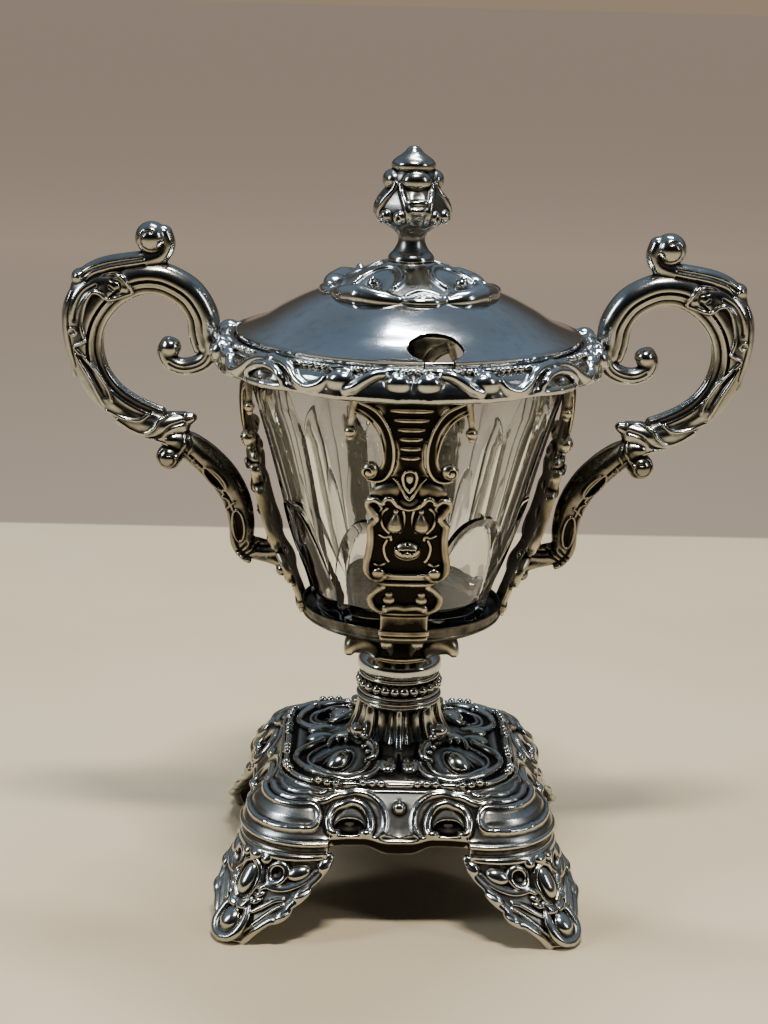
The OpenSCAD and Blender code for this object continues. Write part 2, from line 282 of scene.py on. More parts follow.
def rounded(profile, step=0.5, closed_from=None):
    """A profile's points, with the straight stretches split so that they are at most step long."""
    out = []
    p = [tuple(v) for v in profile]
    for a, b in zip(p, p[1:] + p[:1]):
        count = max(1, int(math.dist(a, b) / step))
        out += [(a[0] + (b[0] - a[0]) * i / count, a[1] + (b[1] - a[1]) * i / count) for i in range(count)]
    return out


def turn_z(points, degrees):
    c, s = math.cos(math.radians(degrees)), math.sin(math.radians(degrees))
    return np.array(points) @ np.array([[c, s, 0], [-s, c, 0], [0, 0, 1]])


# ---------------------------------------------------------------- materials
class Nodes:
    """A short way to write a node tree."""

    def __init__(self, name):
        self.material = bpy.data.materials.new(name)
        self.material.use_nodes = True
        self.tree = self.material.node_tree
        self.shader = self.tree.nodes["Principled BSDF"]
        self.coords = self.add("ShaderNodeTexCoord").outputs["Object"]

    def add(self, kind, **inputs):
        node = self.tree.nodes.new(kind)
        for key, value in inputs.items():
            socket = node.inputs[key.replace("_", " ")] if key.replace("_", " ") in node.inputs else None
            if socket is None:
                setattr(node, key, value)
            elif isinstance(value, bpy.types.NodeSocket):
                self.tree.links.new(value, socket)
            else:
                socket.default_value = value
        return node

    def noise(self, scale, detail=3.0, rough=0.55, stretch=None):
        where = self.coords
        if stretch:
            where = self.add("ShaderNodeMapping", Vector=self.coords, Scale=stretch).outputs[0]
        node = self.add("ShaderNodeTexNoise", Vector=where, Scale=scale, Detail=detail, Roughness=rough)
        return node.outputs["Fac"]

    def remap(self, value, low, high, to_low=0.0, to_high=1.0):
        node = self.add("ShaderNodeMapRange", Value=value, From_Min=low, From_Max=high, To_Min=to_low, To_Max=to_high)
        return node.outputs[0]

    def math(self, operation, a, b):
        node = self.tree.nodes.new("ShaderNodeMath")
        node.operation = operation
        for socket, value in zip(node.inputs, (a, b)):
            if isinstance(value, bpy.types.NodeSocket):
                self.tree.links.new(value, socket)
            else:
                socket.default_value = value
        return node.outputs[0]

    def mix(self, factor, a, b):
        node = self.tree.nodes.new("ShaderNodeMix")
        node.data_type = "RGBA"
        for socket, value in zip((node.inputs[0], node.inputs[6], node.inputs[7]), (factor, a, b)):
            if isinstance(value, bpy.types.NodeSocket):
                self.tree.links.new(value, socket)
            else:
                socket.default_value = value
        return node.outputs[2]

    def drive(self, **sockets):
        for key, value in sockets.items():
            socket = self.shader.inputs[key.replace("_", " ")]
            if isinstance(value, bpy.types.NodeSocket):
                self.tree.links.new(value, socket)
            else:
                socket.default_value = value
        return self.material


def silver(name, bright, tarnish, patina_start, patina_end, rough, scratch):
    """Silver that is bright on high relief, warm with tarnish in patches, and nearly black in the recesses."""
    n = Nodes(name)
    cavity = n.add("ShaderNodeAttribute", attribute_name="cavity").outputs["Fac"]
    cloud = n.noise(55.0, 4.0)
    grime = n.math("ADD", cavity, n.math("MULTIPLY", n.math("SUBTRACT", n.noise(260.0), 0.5), 0.22))
    clean = n.remap(grime, patina_start, patina_end)
    warm = n.math("MULTIPLY", n.remap(cloud, 0.42, 0.68), 0.65)
    metal = n.mix(warm, (*bright, 1), (*tarnish, 1))
    base = n.mix(clean, (0.028, 0.024, 0.02, 1), metal)
    wipe = n.noise(900.0, 2.0, 0.6, (0.25, 0.25, 2.2))
    fine = n.noise(3200.0, 2.0, 0.6, (1.0, 0.12, 0.3))
    roughness = n.math("ADD", n.remap(clean, 0.0, 1.0, rough + 0.3, rough), n.math("MULTIPLY", wipe, rough * 0.7))
    lines = n.math("ADD", n.math("MULTIPLY", wipe, 0.7), n.math("MULTIPLY", fine, 0.5))
    relief = n.add("ShaderNodeBump", Height=lines, Strength=scratch, Distance=0.00012)
    return n.drive(Base_Color=base, Metallic=1.0, Roughness=roughness, Normal=relief.outputs[0])


def cut_glass():
    n = Nodes("cut_glass")
    drift = n.noise(90.0, 2.0)
    relief = n.add("ShaderNodeBump", Height=drift, Strength=0.05, Distance=0.0004)
    return n.drive(Base_Color=(0.955, 0.972, 0.965, 1), Roughness=0.015, IOR=1.53, Transmission_Weight=1.0,
                   Normal=relief.outputs[0])


def paper_floor():
    n = Nodes("floor")
    grain = n.noise(420.0, 5.0)
    tone = n.mix(n.remap(n.noise(7.0, 3.0), 0.3, 0.7), (0.70, 0.57, 0.38, 1), (0.74, 0.62, 0.43, 1))
    away = n.add("ShaderNodeSeparateXYZ", Vector=n.coords).outputs[1]
    tone = n.mix(n.remap(away, 0.387, 0.391), tone, (0.40, 0.315, 0.235, 1))
    # painted light: the floor emits a tan glow that grows with distance behind the vase, standing in for lamp light
    # there
    painted_glow = n.remap(away, 0.40, 1.5, 0.0, 0.56)
    relief = n.add("ShaderNodeBump", Height=grain, Strength=0.12, Distance=0.0006)
    return n.drive(Base_Color=tone, Roughness=0.8, Normal=relief.outputs[0], Emission_Strength=painted_glow,
                   Emission_Color=(0.36, 0.275, 0.205, 1))


POLISHED = silver("polished_silver", (0.60, 0.61, 0.62), (0.55, 0.52, 0.45), 0.22, 0.5, 0.09, 0.10)
CAST = silver("cast_silver", (0.50, 0.50, 0.48), (0.42, 0.39, 0.32), 0.30, 0.64, 0.12, 0.13)
# a darker copy of the silver for the S-scrolls: painted shade for the dark they sit in and reflect
SHADED = silver("painted_shade_silver", (0.34, 0.33, 0.30), (0.25, 0.22, 0.17), 0.42, 0.66, 0.12, 0.12)
# the straps and calyx: oxide in their hollows, spread wider and darker as painted shade for the dark they sit in and
# reflect
DARK = silver("oxidised_silver", (0.62, 0.58, 0.48), (0.42, 0.36, 0.26), 0.52, 0.82, 0.17, 0.14)
BORDER = silver("border_silver", (0.58, 0.59, 0.58), (0.50, 0.48, 0.41), 0.14, 0.48, 0.12, 0.12)
PLINTH = silver("plinth_silver", (0.56, 0.56, 0.53), (0.46, 0.43, 0.34), 0.24, 0.62, 0.14, 0.13)
DISH = silver("dish_silver", (0.38, 0.37, 0.33), (0.28, 0.25, 0.19), 0.55, 0.75, 0.14, 0.10)
STEEL = silver("fastener_steel", (0.42, 0.41, 0.39), (0.34, 0.28, 0.22), 0.0, 0.3, 0.32, 0.3)
GLASS = cut_glass()


# ---------------------------------------------------------------- glass liner
GLASS_OUTSIDE = [(25, 86.5), (27.2, 90), (29.4, 97), (33.3, 108), (37.2, 122), (41.2, 137), (45.2, 151), (46.2, 157),
                 (46.2, 171.4)]
GLASS_ARCHES = 7
GLASS_TURN = -54.2
GLASS_WALL = 4.0


def arch_height(across):
    """Height of the arch line; across runs from 0 at an arch's top to 1 where two arches meet."""
    return 124.0 - 25.0 * across ** 2.5


def glass_cut(r, z, across, reach):
    """The liner's cut outside: long pointed flutes above the arches, and bevelled sunk panels inside them.

    across is measured from the arch's top to its foot, and reach is that whole distance along the surface."""
    flute = 2 * np.abs(across - 0.5)
    depth = 1.9 * (1 - smooth_step(z, 146, 167))
    upper = r - np.maximum(depth - 1.9 * flute ** 2, 0)
    over = z - arch_height(across)
    foot = np.clip((124.0 - np.minimum(z, 124.0)) / 25.0, 0, 1) ** 0.4
    beside_foot = np.maximum(foot - across, 0) * reach
    under = np.maximum(-over, 0)
    inside = under * beside_foot / np.sqrt(under ** 2 + beside_foot ** 2 + 1e-9)
    bevel = np.minimum(inside / 2.6, 1) * 1.7
    panel = r - bevel + 0.5 * smooth_step(inside, 3.0, 9.0)
    low = r + (panel - r) * smooth_step(z, 87.5, 91)
    return np.where(over > 0, upper, low)


def build_glass():
    outside = spline(GLASS_OUTSIDE, 0.6)
    columns = GLASS_ARCHES * 64
    angle = np.arange(columns) * 2 * math.pi / columns
    across = 2 * np.abs((angle * GLASS_ARCHES / (2 * math.pi) + 0.5) % 1 - 0.5)
    arch = arch_height(across)
    low = np.linspace(0, 1, 50)[:, None] * (arch - 88.0) + 88.0
    high = np.linspace(0, 1, 84)[1:, None] * (170.9 - arch) + arch
    z = np.concatenate([low, high])
    r = np.interp(z, outside[:, 1], outside[:, 0])
    cut_r = glass_cut(r, z, across[None, :], math.pi * r / GLASS_ARCHES)
    rings = [(cut_r, z)]

    def plain(profile):
        for pr, pz in profile:
            rings.append((np.full((1, columns), pr), np.full((1, columns), pz)))

    rings.insert(0, (np.full((1, columns), 25.4), np.full((1, columns), 86.9)))
    for pr, pz in ((22.0, 86.5), (12.0, 86.9), (0.2, 87.3)):
        rings.insert(0, (np.full((1, columns), pr), np.full((1, columns), pz)))
    plain([(45.9, 171.3), (45.4, 171.4), (42.8, 171.4), (42.3, 171.1)])
    plain([(pr - GLASS_WALL, pz) for pr, pz in outside[::-3] if 95.5 < pz < 170.5])
    plain([(25.0, 94.4), (23.0, 93.4), (18.0, 93.0), (9.0, 92.8), (0.2, 92.8)])
    r = np.concatenate([ring[0] for ring in rings])
    z = np.concatenate([ring[1] for ring in rings])
    turn = angle[None, :] + math.radians(GLASS_TURN)
    points = np.stack([r * np.cos(turn), r * np.sin(turn), z], -1).reshape(-1, 3)
    i, j = np.meshgrid(np.arange(len(r)), np.arange(columns), indexing="ij")
    k, m = (i + 1) % len(r), (j + 1) % columns
    faces = np.stack([i * columns + j, i * columns + m, k * columns + m, k * columns + j], -1).reshape(-1, 4)
    add_piece("cut_glass_liner", points, orient(points, faces), ["glass_liner"], "liner", GLASS, 0.5, sharp=15)


# ---------------------------------------------------------------- plain turned pieces
def turned(name, profile, node, body, material, cavity, turns=256, radius=None, step=0.4):
    points, faces = lathe(rounded(profile, step), turns, radius)
    return add_piece(name, points, faces, [node], body, material, cavity)


def arc(centre, radius, start, end, count=8):
    """Points on a circle in a profile, from one angle to another, in degrees."""
    return [(centre[0] + radius * math.cos(math.radians(t)), centre[1] + radius * math.sin(math.radians(t)))
            for t in np.linspace(start, end, count)]


TRUMPET = [(16.9, 43.0), (16.4, 44.4), (14.6, 46.2), (12.6, 48.8), (11.4, 52), (11.2, 55), (11.7, 57.4), (12.4, 58.6)]


def sculpt_trumpet():
    """The trumpet with broad flutes, and a leaf rib on each diagonal."""
    clay = Clay((0, 0, 42.6), (18, 18, 59.2), 0.24, "xy")
    profile = spline(TRUMPET, 0.3)

    def body(x, y, z):
        r, a = np.hypot(x, y), np.arctan2(x, y)
        flute = 1.5 * np.abs(np.cos(a * 8)) ** 1.5 * smooth_step(z, 44.0, 47.0) * (1 - smooth_step(z, 55.5, 58.0))
        reach = np.interp(z, profile[:, 1], profile[:, 0]) - flute
        return np.maximum((r - reach) * 0.8, np.maximum(43.0 - z, z - 58.6))

    clay.shape((0, 0, 42.8), (18, 18, 59), body, 0.2)
    for a, size in ((45, 1.0), (0, 0.6), (90, 0.6)):
        c, s = math.cos(math.radians(a)), math.sin(math.radians(a))
        rib = [(12.0, 58.0, 1.0), (12.2, 55.6, 1.5), (12.6, 52.6, 1.7), (13.6, 49.6, 1.9), (15.2, 46.8, 1.9), (16.4, 44.6, 1.4)]
        clay.stroke([(c * r, s * r, z, t * size) for r, z, t in rib], 0.6)
    for z, r in ((57.6, 12.0), (58.3, 12.5)):
        clay.shape((0, 0, 56), (18, 18, 59), lambda x, y, h: np.hypot(np.hypot(x, y) - r, h - z) - 0.5, 0.3)
    return clay


def build_stem():
    sculpt(sculpt_trumpet(), "fluted_trumpet", ["stem_trumpet"], "root", PLINTH)

    band = ([(2.7, 58.6), (12.6, 58.6)] + arc((12.5, 59.5), 0.7, -80, 80, 7) + arc((12.0, 61.0), 0.5, -60, 70, 6)
            + [(11.2, 61.9), (11.2, 65.4)] + arc((11.9, 66.2), 0.55, -100, 60, 7) + [(11.4, 66.9), (2.7, 66.9)])
    points, faces = lathe(rounded(band, 0.3), 256)
    pearl, pearl_faces = ball(1.5)
    clusters = [(points, faces)]
    for i in range(26):
        clusters.append((turn_z(pearl + (12.0, 0, 63.6), i * 360 / 26), pearl_faces))
    points, faces = join(clusters)
    add_piece("beaded_collar", points, faces, ["bead_collar"], "root", CAST)

    ring = [(2.7, 66.9), (11.3, 66.9)] + [tuple(p) for p in spline(
        [(11.6, 67.0), (12.7, 68.0), (13.0, 69.5), (12.7, 71.0), (11.6, 72.2), (10.8, 73.0)], 0.25)] + [(2.7, 73)]
    turned("plain_ring", ring, "stem_ring", "root", POLISHED, None)


def ball(radius, rings=12):
    """A sphere of quads: a cube's faces swelled onto it."""
    t = np.tan(np.linspace(-math.pi / 4, math.pi / 4, rings + 1))
    points, faces = [], []
    for axis in range(3):
        for side in (-1, 1):
            u, v = np.meshgrid(t, t, indexing="ij")
            p = np.stack([np.full_like(u, side), u, v], -1).reshape(-1, 3)
            p = np.roll(p, axis, axis=1)
            i, j = np.meshgrid(np.arange(rings), np.arange(rings), indexing="ij")
            n = rings + 1
            f = np.stack([i * n + j, (i + 1) * n + j, (i + 1) * n + j + 1, i * n + j + 1], -1).reshape(-1, 4)
            f = f if side > 0 else f[:, ::-1]
            faces.append(f + sum(len(q) for q in points))
            points.append(p)
    points = np.vstack(points)
    points *= radius / np.linalg.norm(points, axis=1, keepdims=True)
    key, index, back = np.unique(np.round(points, 5), axis=0, return_index=True, return_inverse=True)
    faces = back.ravel()[np.vstack(faces)]
    return points[index], orient(points[index], faces)


def join(parts):
    points, faces, count = [], [], 0
    for p, f in parts:
        points.append(p)
        faces.append(f + count)
        count += len(p)
    return np.vstack(points), np.vstack(faces)


# ---------------------------------------------------------------- lid
LID_TURN = 8
LID_OUTSIDE = [(7, 190), (14, 188.6), (22, 186), (30.1, 183), (37.5, 179.3), (43, 176), (48.4, 173.6), (50.8, 173)]


def cut(piece, solids, name):
    """Cuts closed solids of (points, faces) out of a piece, for good."""
    mesh = bpy.data.meshes.new(name)
    points, faces = join([(p, f) for p, f in solids])
    mesh.from_pydata([tuple(p) for p in points * MM], [], [tuple(f) for f in faces])
    tool = bpy.data.objects.new(name, mesh)
    bpy.context.scene.collection.objects.link(tool)
    knife = piece.modifiers.new("cut", "BOOLEAN")
    knife.operation, knife.object, knife.solver = "DIFFERENCE", tool, "EXACT"
    depsgraph = bpy.context.evaluated_depsgraph_get()
    result = bpy.data.meshes.new_from_object(piece.evaluated_get(depsgraph), preserve_all_data_layers=True,
                                             depsgraph=depsgraph)
    piece.modifiers.clear()
    piece.data = result
    bpy.data.objects.remove(tool)


def prism(outline, low, high):
    """A closed prism from an outline in X and Y."""
    n = len(outline)
    points = np.array([(x, y, z) for z in (low, high) for x, y in outline])
    middle = np.array(outline).mean(0)
    points = np.vstack([points, [(*middle, low), (*middle, high)]])
    faces = []
    for i in range(n):
        j = (i + 1) % n
        faces += [(i, j, n + j), (i, n + j, n + i), (j, i, 2 * n), (n + i, n + j, 2 * n + 1)]
    faces = np.array(faces)
    return points, orient(points, faces)


def spoon_outline():
    """The keyhole seen from above: an oval towards the axis, which runs out through the lid's edge as a slot."""
    right = [(4.0, -60.0), (4.0, -49.6), (4.6, -48.6), (6.6, -47.0), (7.6, -45.0), (7.6, -43.0), (6.6, -40.9),
             (4.6, -39.4), (2.2, -38.7)]
    half = spline(right[1:], 0.4)
    outline = [right[0]] + [tuple(p) for p in half] + [(0.0, -38.5)]
    outline += [(-x, y) for x, y in outline[-2::-1]]
    turned_outline = turn_z([(x, y, 0) for x, y in outline], LID_TURN)
    return [(x, y) for x, y, _ in turned_outline]


def build_lid():
    outside = [tuple(p) for p in spline(LID_OUTSIDE, 0.7)]
    edge = [(50.95, 172.8), (50.95, 172.3), (50.75, 172.1)]
    inside = [(r - 0.1, z - 0.9) for r, z in outside[::-1] if r < 50]
    profile = [(1.6, 190.2)] + outside + edge + inside + [(1.6, 189.3)]
    points, faces = lathe(profile, 384)
    dome = add_piece("polished_dome", points, faces, ["lid_dome"], "lid", POLISHED, 0.5)
    keyhole = prism(spoon_outline(), 160, 186)
    cut(dome, [keyhole], "keyhole")
    dome.data.set_sharp_from_angle(angle=math.radians(35))

    band = rounded([(49.3, 171.2), (50.8, 171.2), (50.8, 172.1), (49.3, 172.4)], 0.5)
    points, faces = lathe(band, 384)
    skirt = add_piece("lid_edge_band", points, faces, ["lid_skirt"], "lid", POLISHED, 0.45)
    cut(skirt, [prism(spoon_outline(), 160, 186)], "slot")
    skirt.data.set_sharp_from_angle(angle=math.radians(35))


def build_collar_and_dish():
    ring = [(46.6, 163.4), (47.8, 163.4), (47.8, 171.9), (47.5, 172.3), (46.9, 172.3), (46.6, 172.0)]
    turned("neck_ring", ring, "collar_ring", "collar", POLISHED, 0.5)
    dish = ([(2.7, 84), (21, 84)] + [tuple(p) for p in spline(
        [(22.2, 84.1), (26, 84.5), (28.6, 85.2), (29.7, 86.0)], 0.4)] + arc((29.9, 86.6), 0.55, -80, 60, 6)
        + [(30.2, 87.3), (30.2, 89.2)] + arc((30.15, 89.65), 0.35, -20, 190, 8)
        + [(29.4, 88.0), (27.0, 86.5), (6.2, 86.5), (6.2, 84.8), (2.7, 84.8)])
    turned("dish", dish, "cage_dish", "root", DISH, 0.62)


# ---------------------------------------------------------------- handles
LOOP = [(58.0, 165.8), (59.6, 170.4), (60.6, 176.2), (63.8, 181.6), (68.2, 184.9), (74.0, 186.9), (81, 186.2), (88.3, 181.8),
        (93.4, 175), (95.2, 167), (93.6, 158.6), (89.6, 152.2), (84.4, 147.8), (78, 144.6), (72, 142.6), (67, 142.8)]
S_SCROLL = [(70.4, 138.2), (65.4, 136.6), (60.2, 132.6), (54.8, 127), (50.8, 120), (49.2, 113), (48.8, 107.6),
            (46.4, 104.2), (42.2, 103.4), (36.8, 103.8)]


def beside(path, offset, radius, y=0.0, keep=(0.0, 1.0)):
    """A stroke beside a path in the XZ plane: offset to its left hand, at the given y. radius may be a list."""
    line = spline([(x, 0.0, z, 0.0) for x, z in path], 0.8)
    ahead = np.gradient(line[:, (0, 2)], axis=0)
    ahead /= np.linalg.norm(ahead, axis=1, keepdims=True)
    t = np.linspace(0, 1, len(line))
    shift = np.interp(t, np.linspace(0, 1, len(np.atleast_1d(offset))), np.atleast_1d(offset))
    r = np.interp(t, np.linspace(0, 1, len(np.atleast_1d(radius))), np.atleast_1d(radius))
    out = np.stack([line[:, 0] - ahead[:, 1] * shift, np.full(len(t), y), line[:, 2] + ahead[:, 0] * shift, r], 1)
    return out[(t >= keep[0]) & (t <= keep[1])]


def sculpt_loop():
    clay = Clay((53.5, 0, 136.5), (103.5, 8.2, 206), 0.27, "y")
    swell = [3.6, 4.2, 4.3, 4.3, 4.4, 4.6, 4.5, 4.2, 3.8, 3.4, 2.8]
    clay.stroke(beside(LOOP, 0.3, swell), 0.5, (1, 0.95, 1), smooth=False)
    for offset, radius, y in ((-2.0, 1.5, 2.2), (-3.9, 1.25, 1.2)):
        clay.stroke(beside(LOOP, offset, radius, y, (0.02, 0.93)), 0.25, smooth=False)
    for offset, y in ((-0.9, 4.2), (-3.1, 2.9)):
        clay.stroke(beside(LOOP, offset, 0.42, y, (0.03, 0.9)), 0.25, carve=True, smooth=False)

    def trim(path, radius, lift=0.15, blend=0.25, carve=False):
        """A thin line that follows the clay, along points of (x, z)."""
        clay.stroke(clay.drape([(x, z, radius) for x, z in path], 1, lift, 1.2), blend, carve=carve, smooth=False)

    # the broad leaf that sheathes the outer side: its bud at the top, its eye, notch and flicked tip
    leaf = [(84.4, 184.6, 3.4), (88.6, 185.0, 4.3), (93.4, 182.6, 4.9), (96.7, 178.0, 4.9), (97.7, 172.4, 4.4), (97.6, 167.0, 3.8),
            (97.2, 162.6, 3.0), (97.9, 159.4, 1.7), (98.6, 157.6, 0.9)]
    clay.stroke([(x, 0, z, r) for x, z, r in leaf], 0.6, (1, 1.02, 1))
    clay.blob((83.6, 0, 184.0), (3.6, 4.7, 2.2), ((0.9, 0, 0.44), (0, 1, 0), (-0.44, 0, 0.9)), 0.4)
    lower = [(97.0, 165.8, 2.6), (95.6, 162.0, 3.7), (93.2, 157.4, 4.0), (90.8, 153.4, 3.7), (88.9, 150.4, 2.6)]
    clay.stroke([(x, 0, z, r) for x, z, r in lower], 0.5, (1, 0.9, 1))
    bud = [(89.6, 187.9), (86.6, 188.0), (84.0, 187.4), (82.4, 185.4), (81.0, 182.9), (83.4, 181.8), (86.4, 180.8), (88.4, 180.8),
           (90.2, 182.2), (92.4, 182.6), (94.2, 180.2), (95.4, 176.2), (95.8, 172.8), (95.2, 170.2), (94.6, 168.4)]
    trim(bud, 0.6)
    trim([(87.6, 184.4), (86.0, 183.2), (84.4, 184.0), (84.8, 185.8), (87.0, 186.4)], 0.4, 0.0, 0.3, True)
    trim([(94.6, 168.4), (96.4, 167.4), (98.0, 166.6), (96.4, 164.6), (95.0, 162.9), (91.5, 158.9), (88.6, 154.2), (87.3, 150.8)], 0.55)
    trim([(97.6, 164.2), (95.4, 160.2), (93.0, 156.0), (91.0, 151.6), (89.6, 148.9)], 0.5)
    trim([(96.2, 163.6), (93.6, 159.6), (91.2, 155.4), (89.4, 151.8)], 0.55, 0.1, 0.4, True)
    trim([(98.6, 182.4), (100.0, 176.6), (99.9, 171.0), (99.0, 165.0), (98.0, 160.8)], 0.45, 0.1, 0.4, True)
    trim([(91.6, 184.6), (95.0, 182.4), (97.2, 178.4), (97.9, 174.4)], 0.5, 0.1, 0.5, True)
    eye = [(98.5 + 1.1 * math.cos(t), 170.9 + 1.1 * math.sin(t)) for t in np.linspace(0, 6.4, 14)]
    trim(eye, 0.36, 0.2)
    clay.blob((96.6, 0, 186.6), (2.5, 3.6, 2.5), blend=0.6)

    # the leaf that wraps the tail, with its lip and its pointed edge
    wrap = [(83.6, 145.6, 3.8), (78.6, 143.6, 4.3), (74.0, 142.6, 4.4), (70.4, 142.8, 3.8), (67.0, 144.0, 2.7), (64.0, 145.0, 1.6)]
    clay.stroke([(x, 0, z, r) for x, z, r in wrap], 0.5, (1, 0.95, 1))
    clay.stroke([(73.8, 0, 140.4, 2.8), (71.6, 0, 138.6, 2.2), (69.8, 0, 137.2, 1.3)], 0.5, (1, 0.7, 1))
    trim([(85.8, 144.6), (82.0, 142.0), (78.0, 140.8), (75.0, 142.4), (73.4, 144.8), (70.0, 146.2), (66.0, 146.2)], 0.55)
    trim([(88.8, 147.4), (84.0, 145.4), (79.4, 144.8), (76.4, 146.6)], 0.5)
    trim([(80.6, 139.6), (76.4, 139.0), (72.4, 140.6), (70.0, 143.0), (66.4, 144.2)], 0.5, 0.0, 0.4, True)
    trim([(77.6, 139.0), (73.6, 138.4), (70.6, 137.0)], 0.45)

    # the grooved stem and volute on top
    stem = [(97.0, 183.6), (93.8, 187.4), (88.5, 189.6), (82.5, 190.8), (77.0, 191.8), (72.8, 193.4), (71.2, 196.4), (72.0, 199.6)]
    clay.stroke(beside(stem, 0, [2.4, 2.9, 3.2, 3.2, 3.1, 2.8, 2.6, 2.6]), 0.6, (1, 0.9, 1), smooth=False)
    for offset in (-1.0, 1.0):
        trim([(p[0], p[2]) for p in beside(stem, offset, 0.3, keep=(0.1, 0.66))[::3]], 0.45, 0.1, 0.4, True)
    clay.blob((75.6, 0, 198.4), (4.8, 5.0, 4.8), blend=0.4)
    coil = [(75.6 + (4.0 - 0.4 * t) * math.cos(t + 3.6), 198.4 + (4.0 - 0.4 * t) * math.sin(t + 3.6)) for t in np.linspace(0, 4.4, 22)]
    trim(coil, 0.4, 0.1, 0.4, True)

    # the curl inside the loop, at the border
    curl = [(57.4, 166.6), (58.9, 164.6), (60.9, 162.2), (64.3, 160.8), (67.9, 160.8), (71.0, 162.5), (72.0, 165.2), (71.0, 167.4)]
    clay.stroke(beside(curl, 0, [3.0, 2.8, 2.7, 2.6, 2.5, 2.3, 2.2]), 0.5, (1, 0.85, 1), smooth=False)
    clay.blob((70.2, 0, 166.2), (3.2, 3.5, 3.1), blend=0.3)
    trim([(p[0], p[2]) for p in beside(curl, 0, 0.3, keep=(0.1, 0.8))[::3]], 0.34, 0.1, 0.3, True)
    clay.blob((57.8, 0, 168.2), (2.8, 4.4, 4.6), blend=0.8)
    return clay


def sculpt_scroll():
    clay = Clay((33.5, 0, 94.5), (78, 7.2, 143.4), 0.25, "y")
    clay.stroke(beside(S_SCROLL, -0.5, [3.0, 4.0, 4.5, 4.5, 4.3, 3.9, 3.5, 2.8, 2.4, 2.0]), 0.4, (1, 0.95, 1), smooth=False)
    clay.stroke(beside(S_SCROLL, 2.6, [0.9, 1.1, 1.2, 1.2, 1.1, 1.0, 0.9, 0.7], 1.6, (0.06, 0.84)), 0.4, smooth=False)
    clay.stroke(beside(S_SCROLL, 1.3, 0.45, 3.8, (0.08, 0.78)), 0.35, carve=True, smooth=False)

    def trim(path, radius, lift=0.15, blend=0.2, carve=False):
        """A thin line that follows the clay, along points of (x, z)."""
        clay.stroke(clay.drape([(x, z, radius) for x, z in path], 1, lift, 1.0), blend, carve=carve, smooth=False)

    # two long oval recesses with raised rims
    for x, z, length, width, lean in ((57.0, 127.4, 4.6, 1.9, 46), (49.9, 112.8, 5.0, 1.8, 84)):
        c, s = math.cos(math.radians(lean)), math.sin(math.radians(lean))
        oval = [(x + length * c * math.cos(t) + width * s * math.sin(t),
                 z + length * s * math.cos(t) - width * c * math.sin(t)) for t in np.linspace(0, 2 * math.pi, 30)]
        ring = clay.drape([(a, b, 0.42) for a, b in oval], 1, 0.15)
        clay.blob(clay.drape([(x, z, 1)], 1, 0.0)[0][:3], (length * 0.88, 0.9, width * 0.85), ((c, 0, s), (0, 1, 0), (-s, 0, c)), 0.3,
                  carve=True)
        clay.stroke(ring, 0.15, smooth=False)
    trim([(62.9 + 0.9 * math.cos(t), 132.4 + 0.9 * math.sin(t)) for t in np.linspace(0, 6.4, 12)], 0.32)
    trim([(54.6, 121.8), (53.0, 121.0), (52.4, 119.2), (53.6, 118.0)], 0.45)
    trim([(51.0, 120.4), (52.0, 119.4), (51.6, 117.8)], 0.4)

    # the head: a rolled knob under a leaf collar
    clay.blob((70.8, 0, 133.0), (4.0, 4.5, 4.0), blend=0.5)
    coil = [(70.8 + (3.2 - 0.3 * t) * math.cos(1.2 - t), 133.0 + (3.2 - 0.3 * t) * math.sin(1.2 - t)) for t in np.linspace(0.2, 6.0, 22)]
    trim(coil, 0.32, 0.0, 0.25, True)
    clay.blob((69.8, 0, 138.6), (3.4, 4.0, 2.4), blend=0.8)
    trim([(66.6, 141.2), (65.6, 138.8), (66.6, 136.0), (68.6, 133.6)], 0.5)
    trim([(64.6, 139.6), (63.8, 137.2), (64.8, 134.8)], 0.4)

    # the foot of the scroll, where it meets the side strap
    clay.stroke([(48.6, 0, 106.0, 2.2), (45.0, 0, 107.0, 1.6), (41.4, 0, 106.6, 1.1), (38.6, 0, 107.0, 0.6)], 0.5)
    clay.stroke([(44.0, 0, 103.2, 2.0), (40.2, 0, 101.8, 1.6), (37.6, 0, 100.4, 1.4), (36.6, 0, 98.4, 1.4)], 0.5)
    clay.blob((36.6, 0, 98.4), (2.0, 2.4, 2.0), blend=0.3)
    for shift in (0.0, 1.9, 3.8):
        trim([(51.8 - shift * 0.9, 103.6 - shift * 0.4), (49.4 - shift, 105.0 - shift * 0.1), (47.4 - shift, 107.2)], 0.36, 0.1, 0.3, True)
    return clay


def build_handles():
    for sculptor, name, metal in ((sculpt_loop, "loop", CAST), (sculpt_scroll, "scroll", SHADED)):
        points, faces = sculptor().mesh()
        for side, sign in SIDES.items():
            flipped = points * (sign, 1, 1)
            add_piece(f"handle_{side}_{name}_cast", flipped, orient(flipped, faces), [f"handle_{side}_{name}"], "root",
                      metal)


# ---------------------------------------------------------------- straps
STRAP_INSIDE = [(30.4, 84), (30.5, 90.2), (32, 94.6), (34.6, 102), (39.4, 113.5), (42.8, 127), (45.6, 140), (47.3, 150),
                (47.6, 162.6)]
STRAPS = {"front": 0, "right": 90, "back": 180, "left": 270}


def slab(clay, halves, low, high, blend=0.3, carve=False):
    """A flat plate between two depths, whose half width at each height is given by (half, z) points."""
    z_list = [z for _, z in halves][::-1]
    w_list = [w for w, _ in halves][::-1]

    def distance(x, y, z):
        edge = np.abs(x) - np.interp(z, z_list, w_list)
        ends = np.maximum(z - z_list[-1], z_list[0] - z)
        return np.maximum(np.maximum(edge, ends), np.maximum(y - high, low - y))

    reach = max(w_list) + 1
    clay.shape((-reach, low - 1, z_list[0] - 1), (reach, high + 1, z_list[-1] + 1), distance, blend, carve)


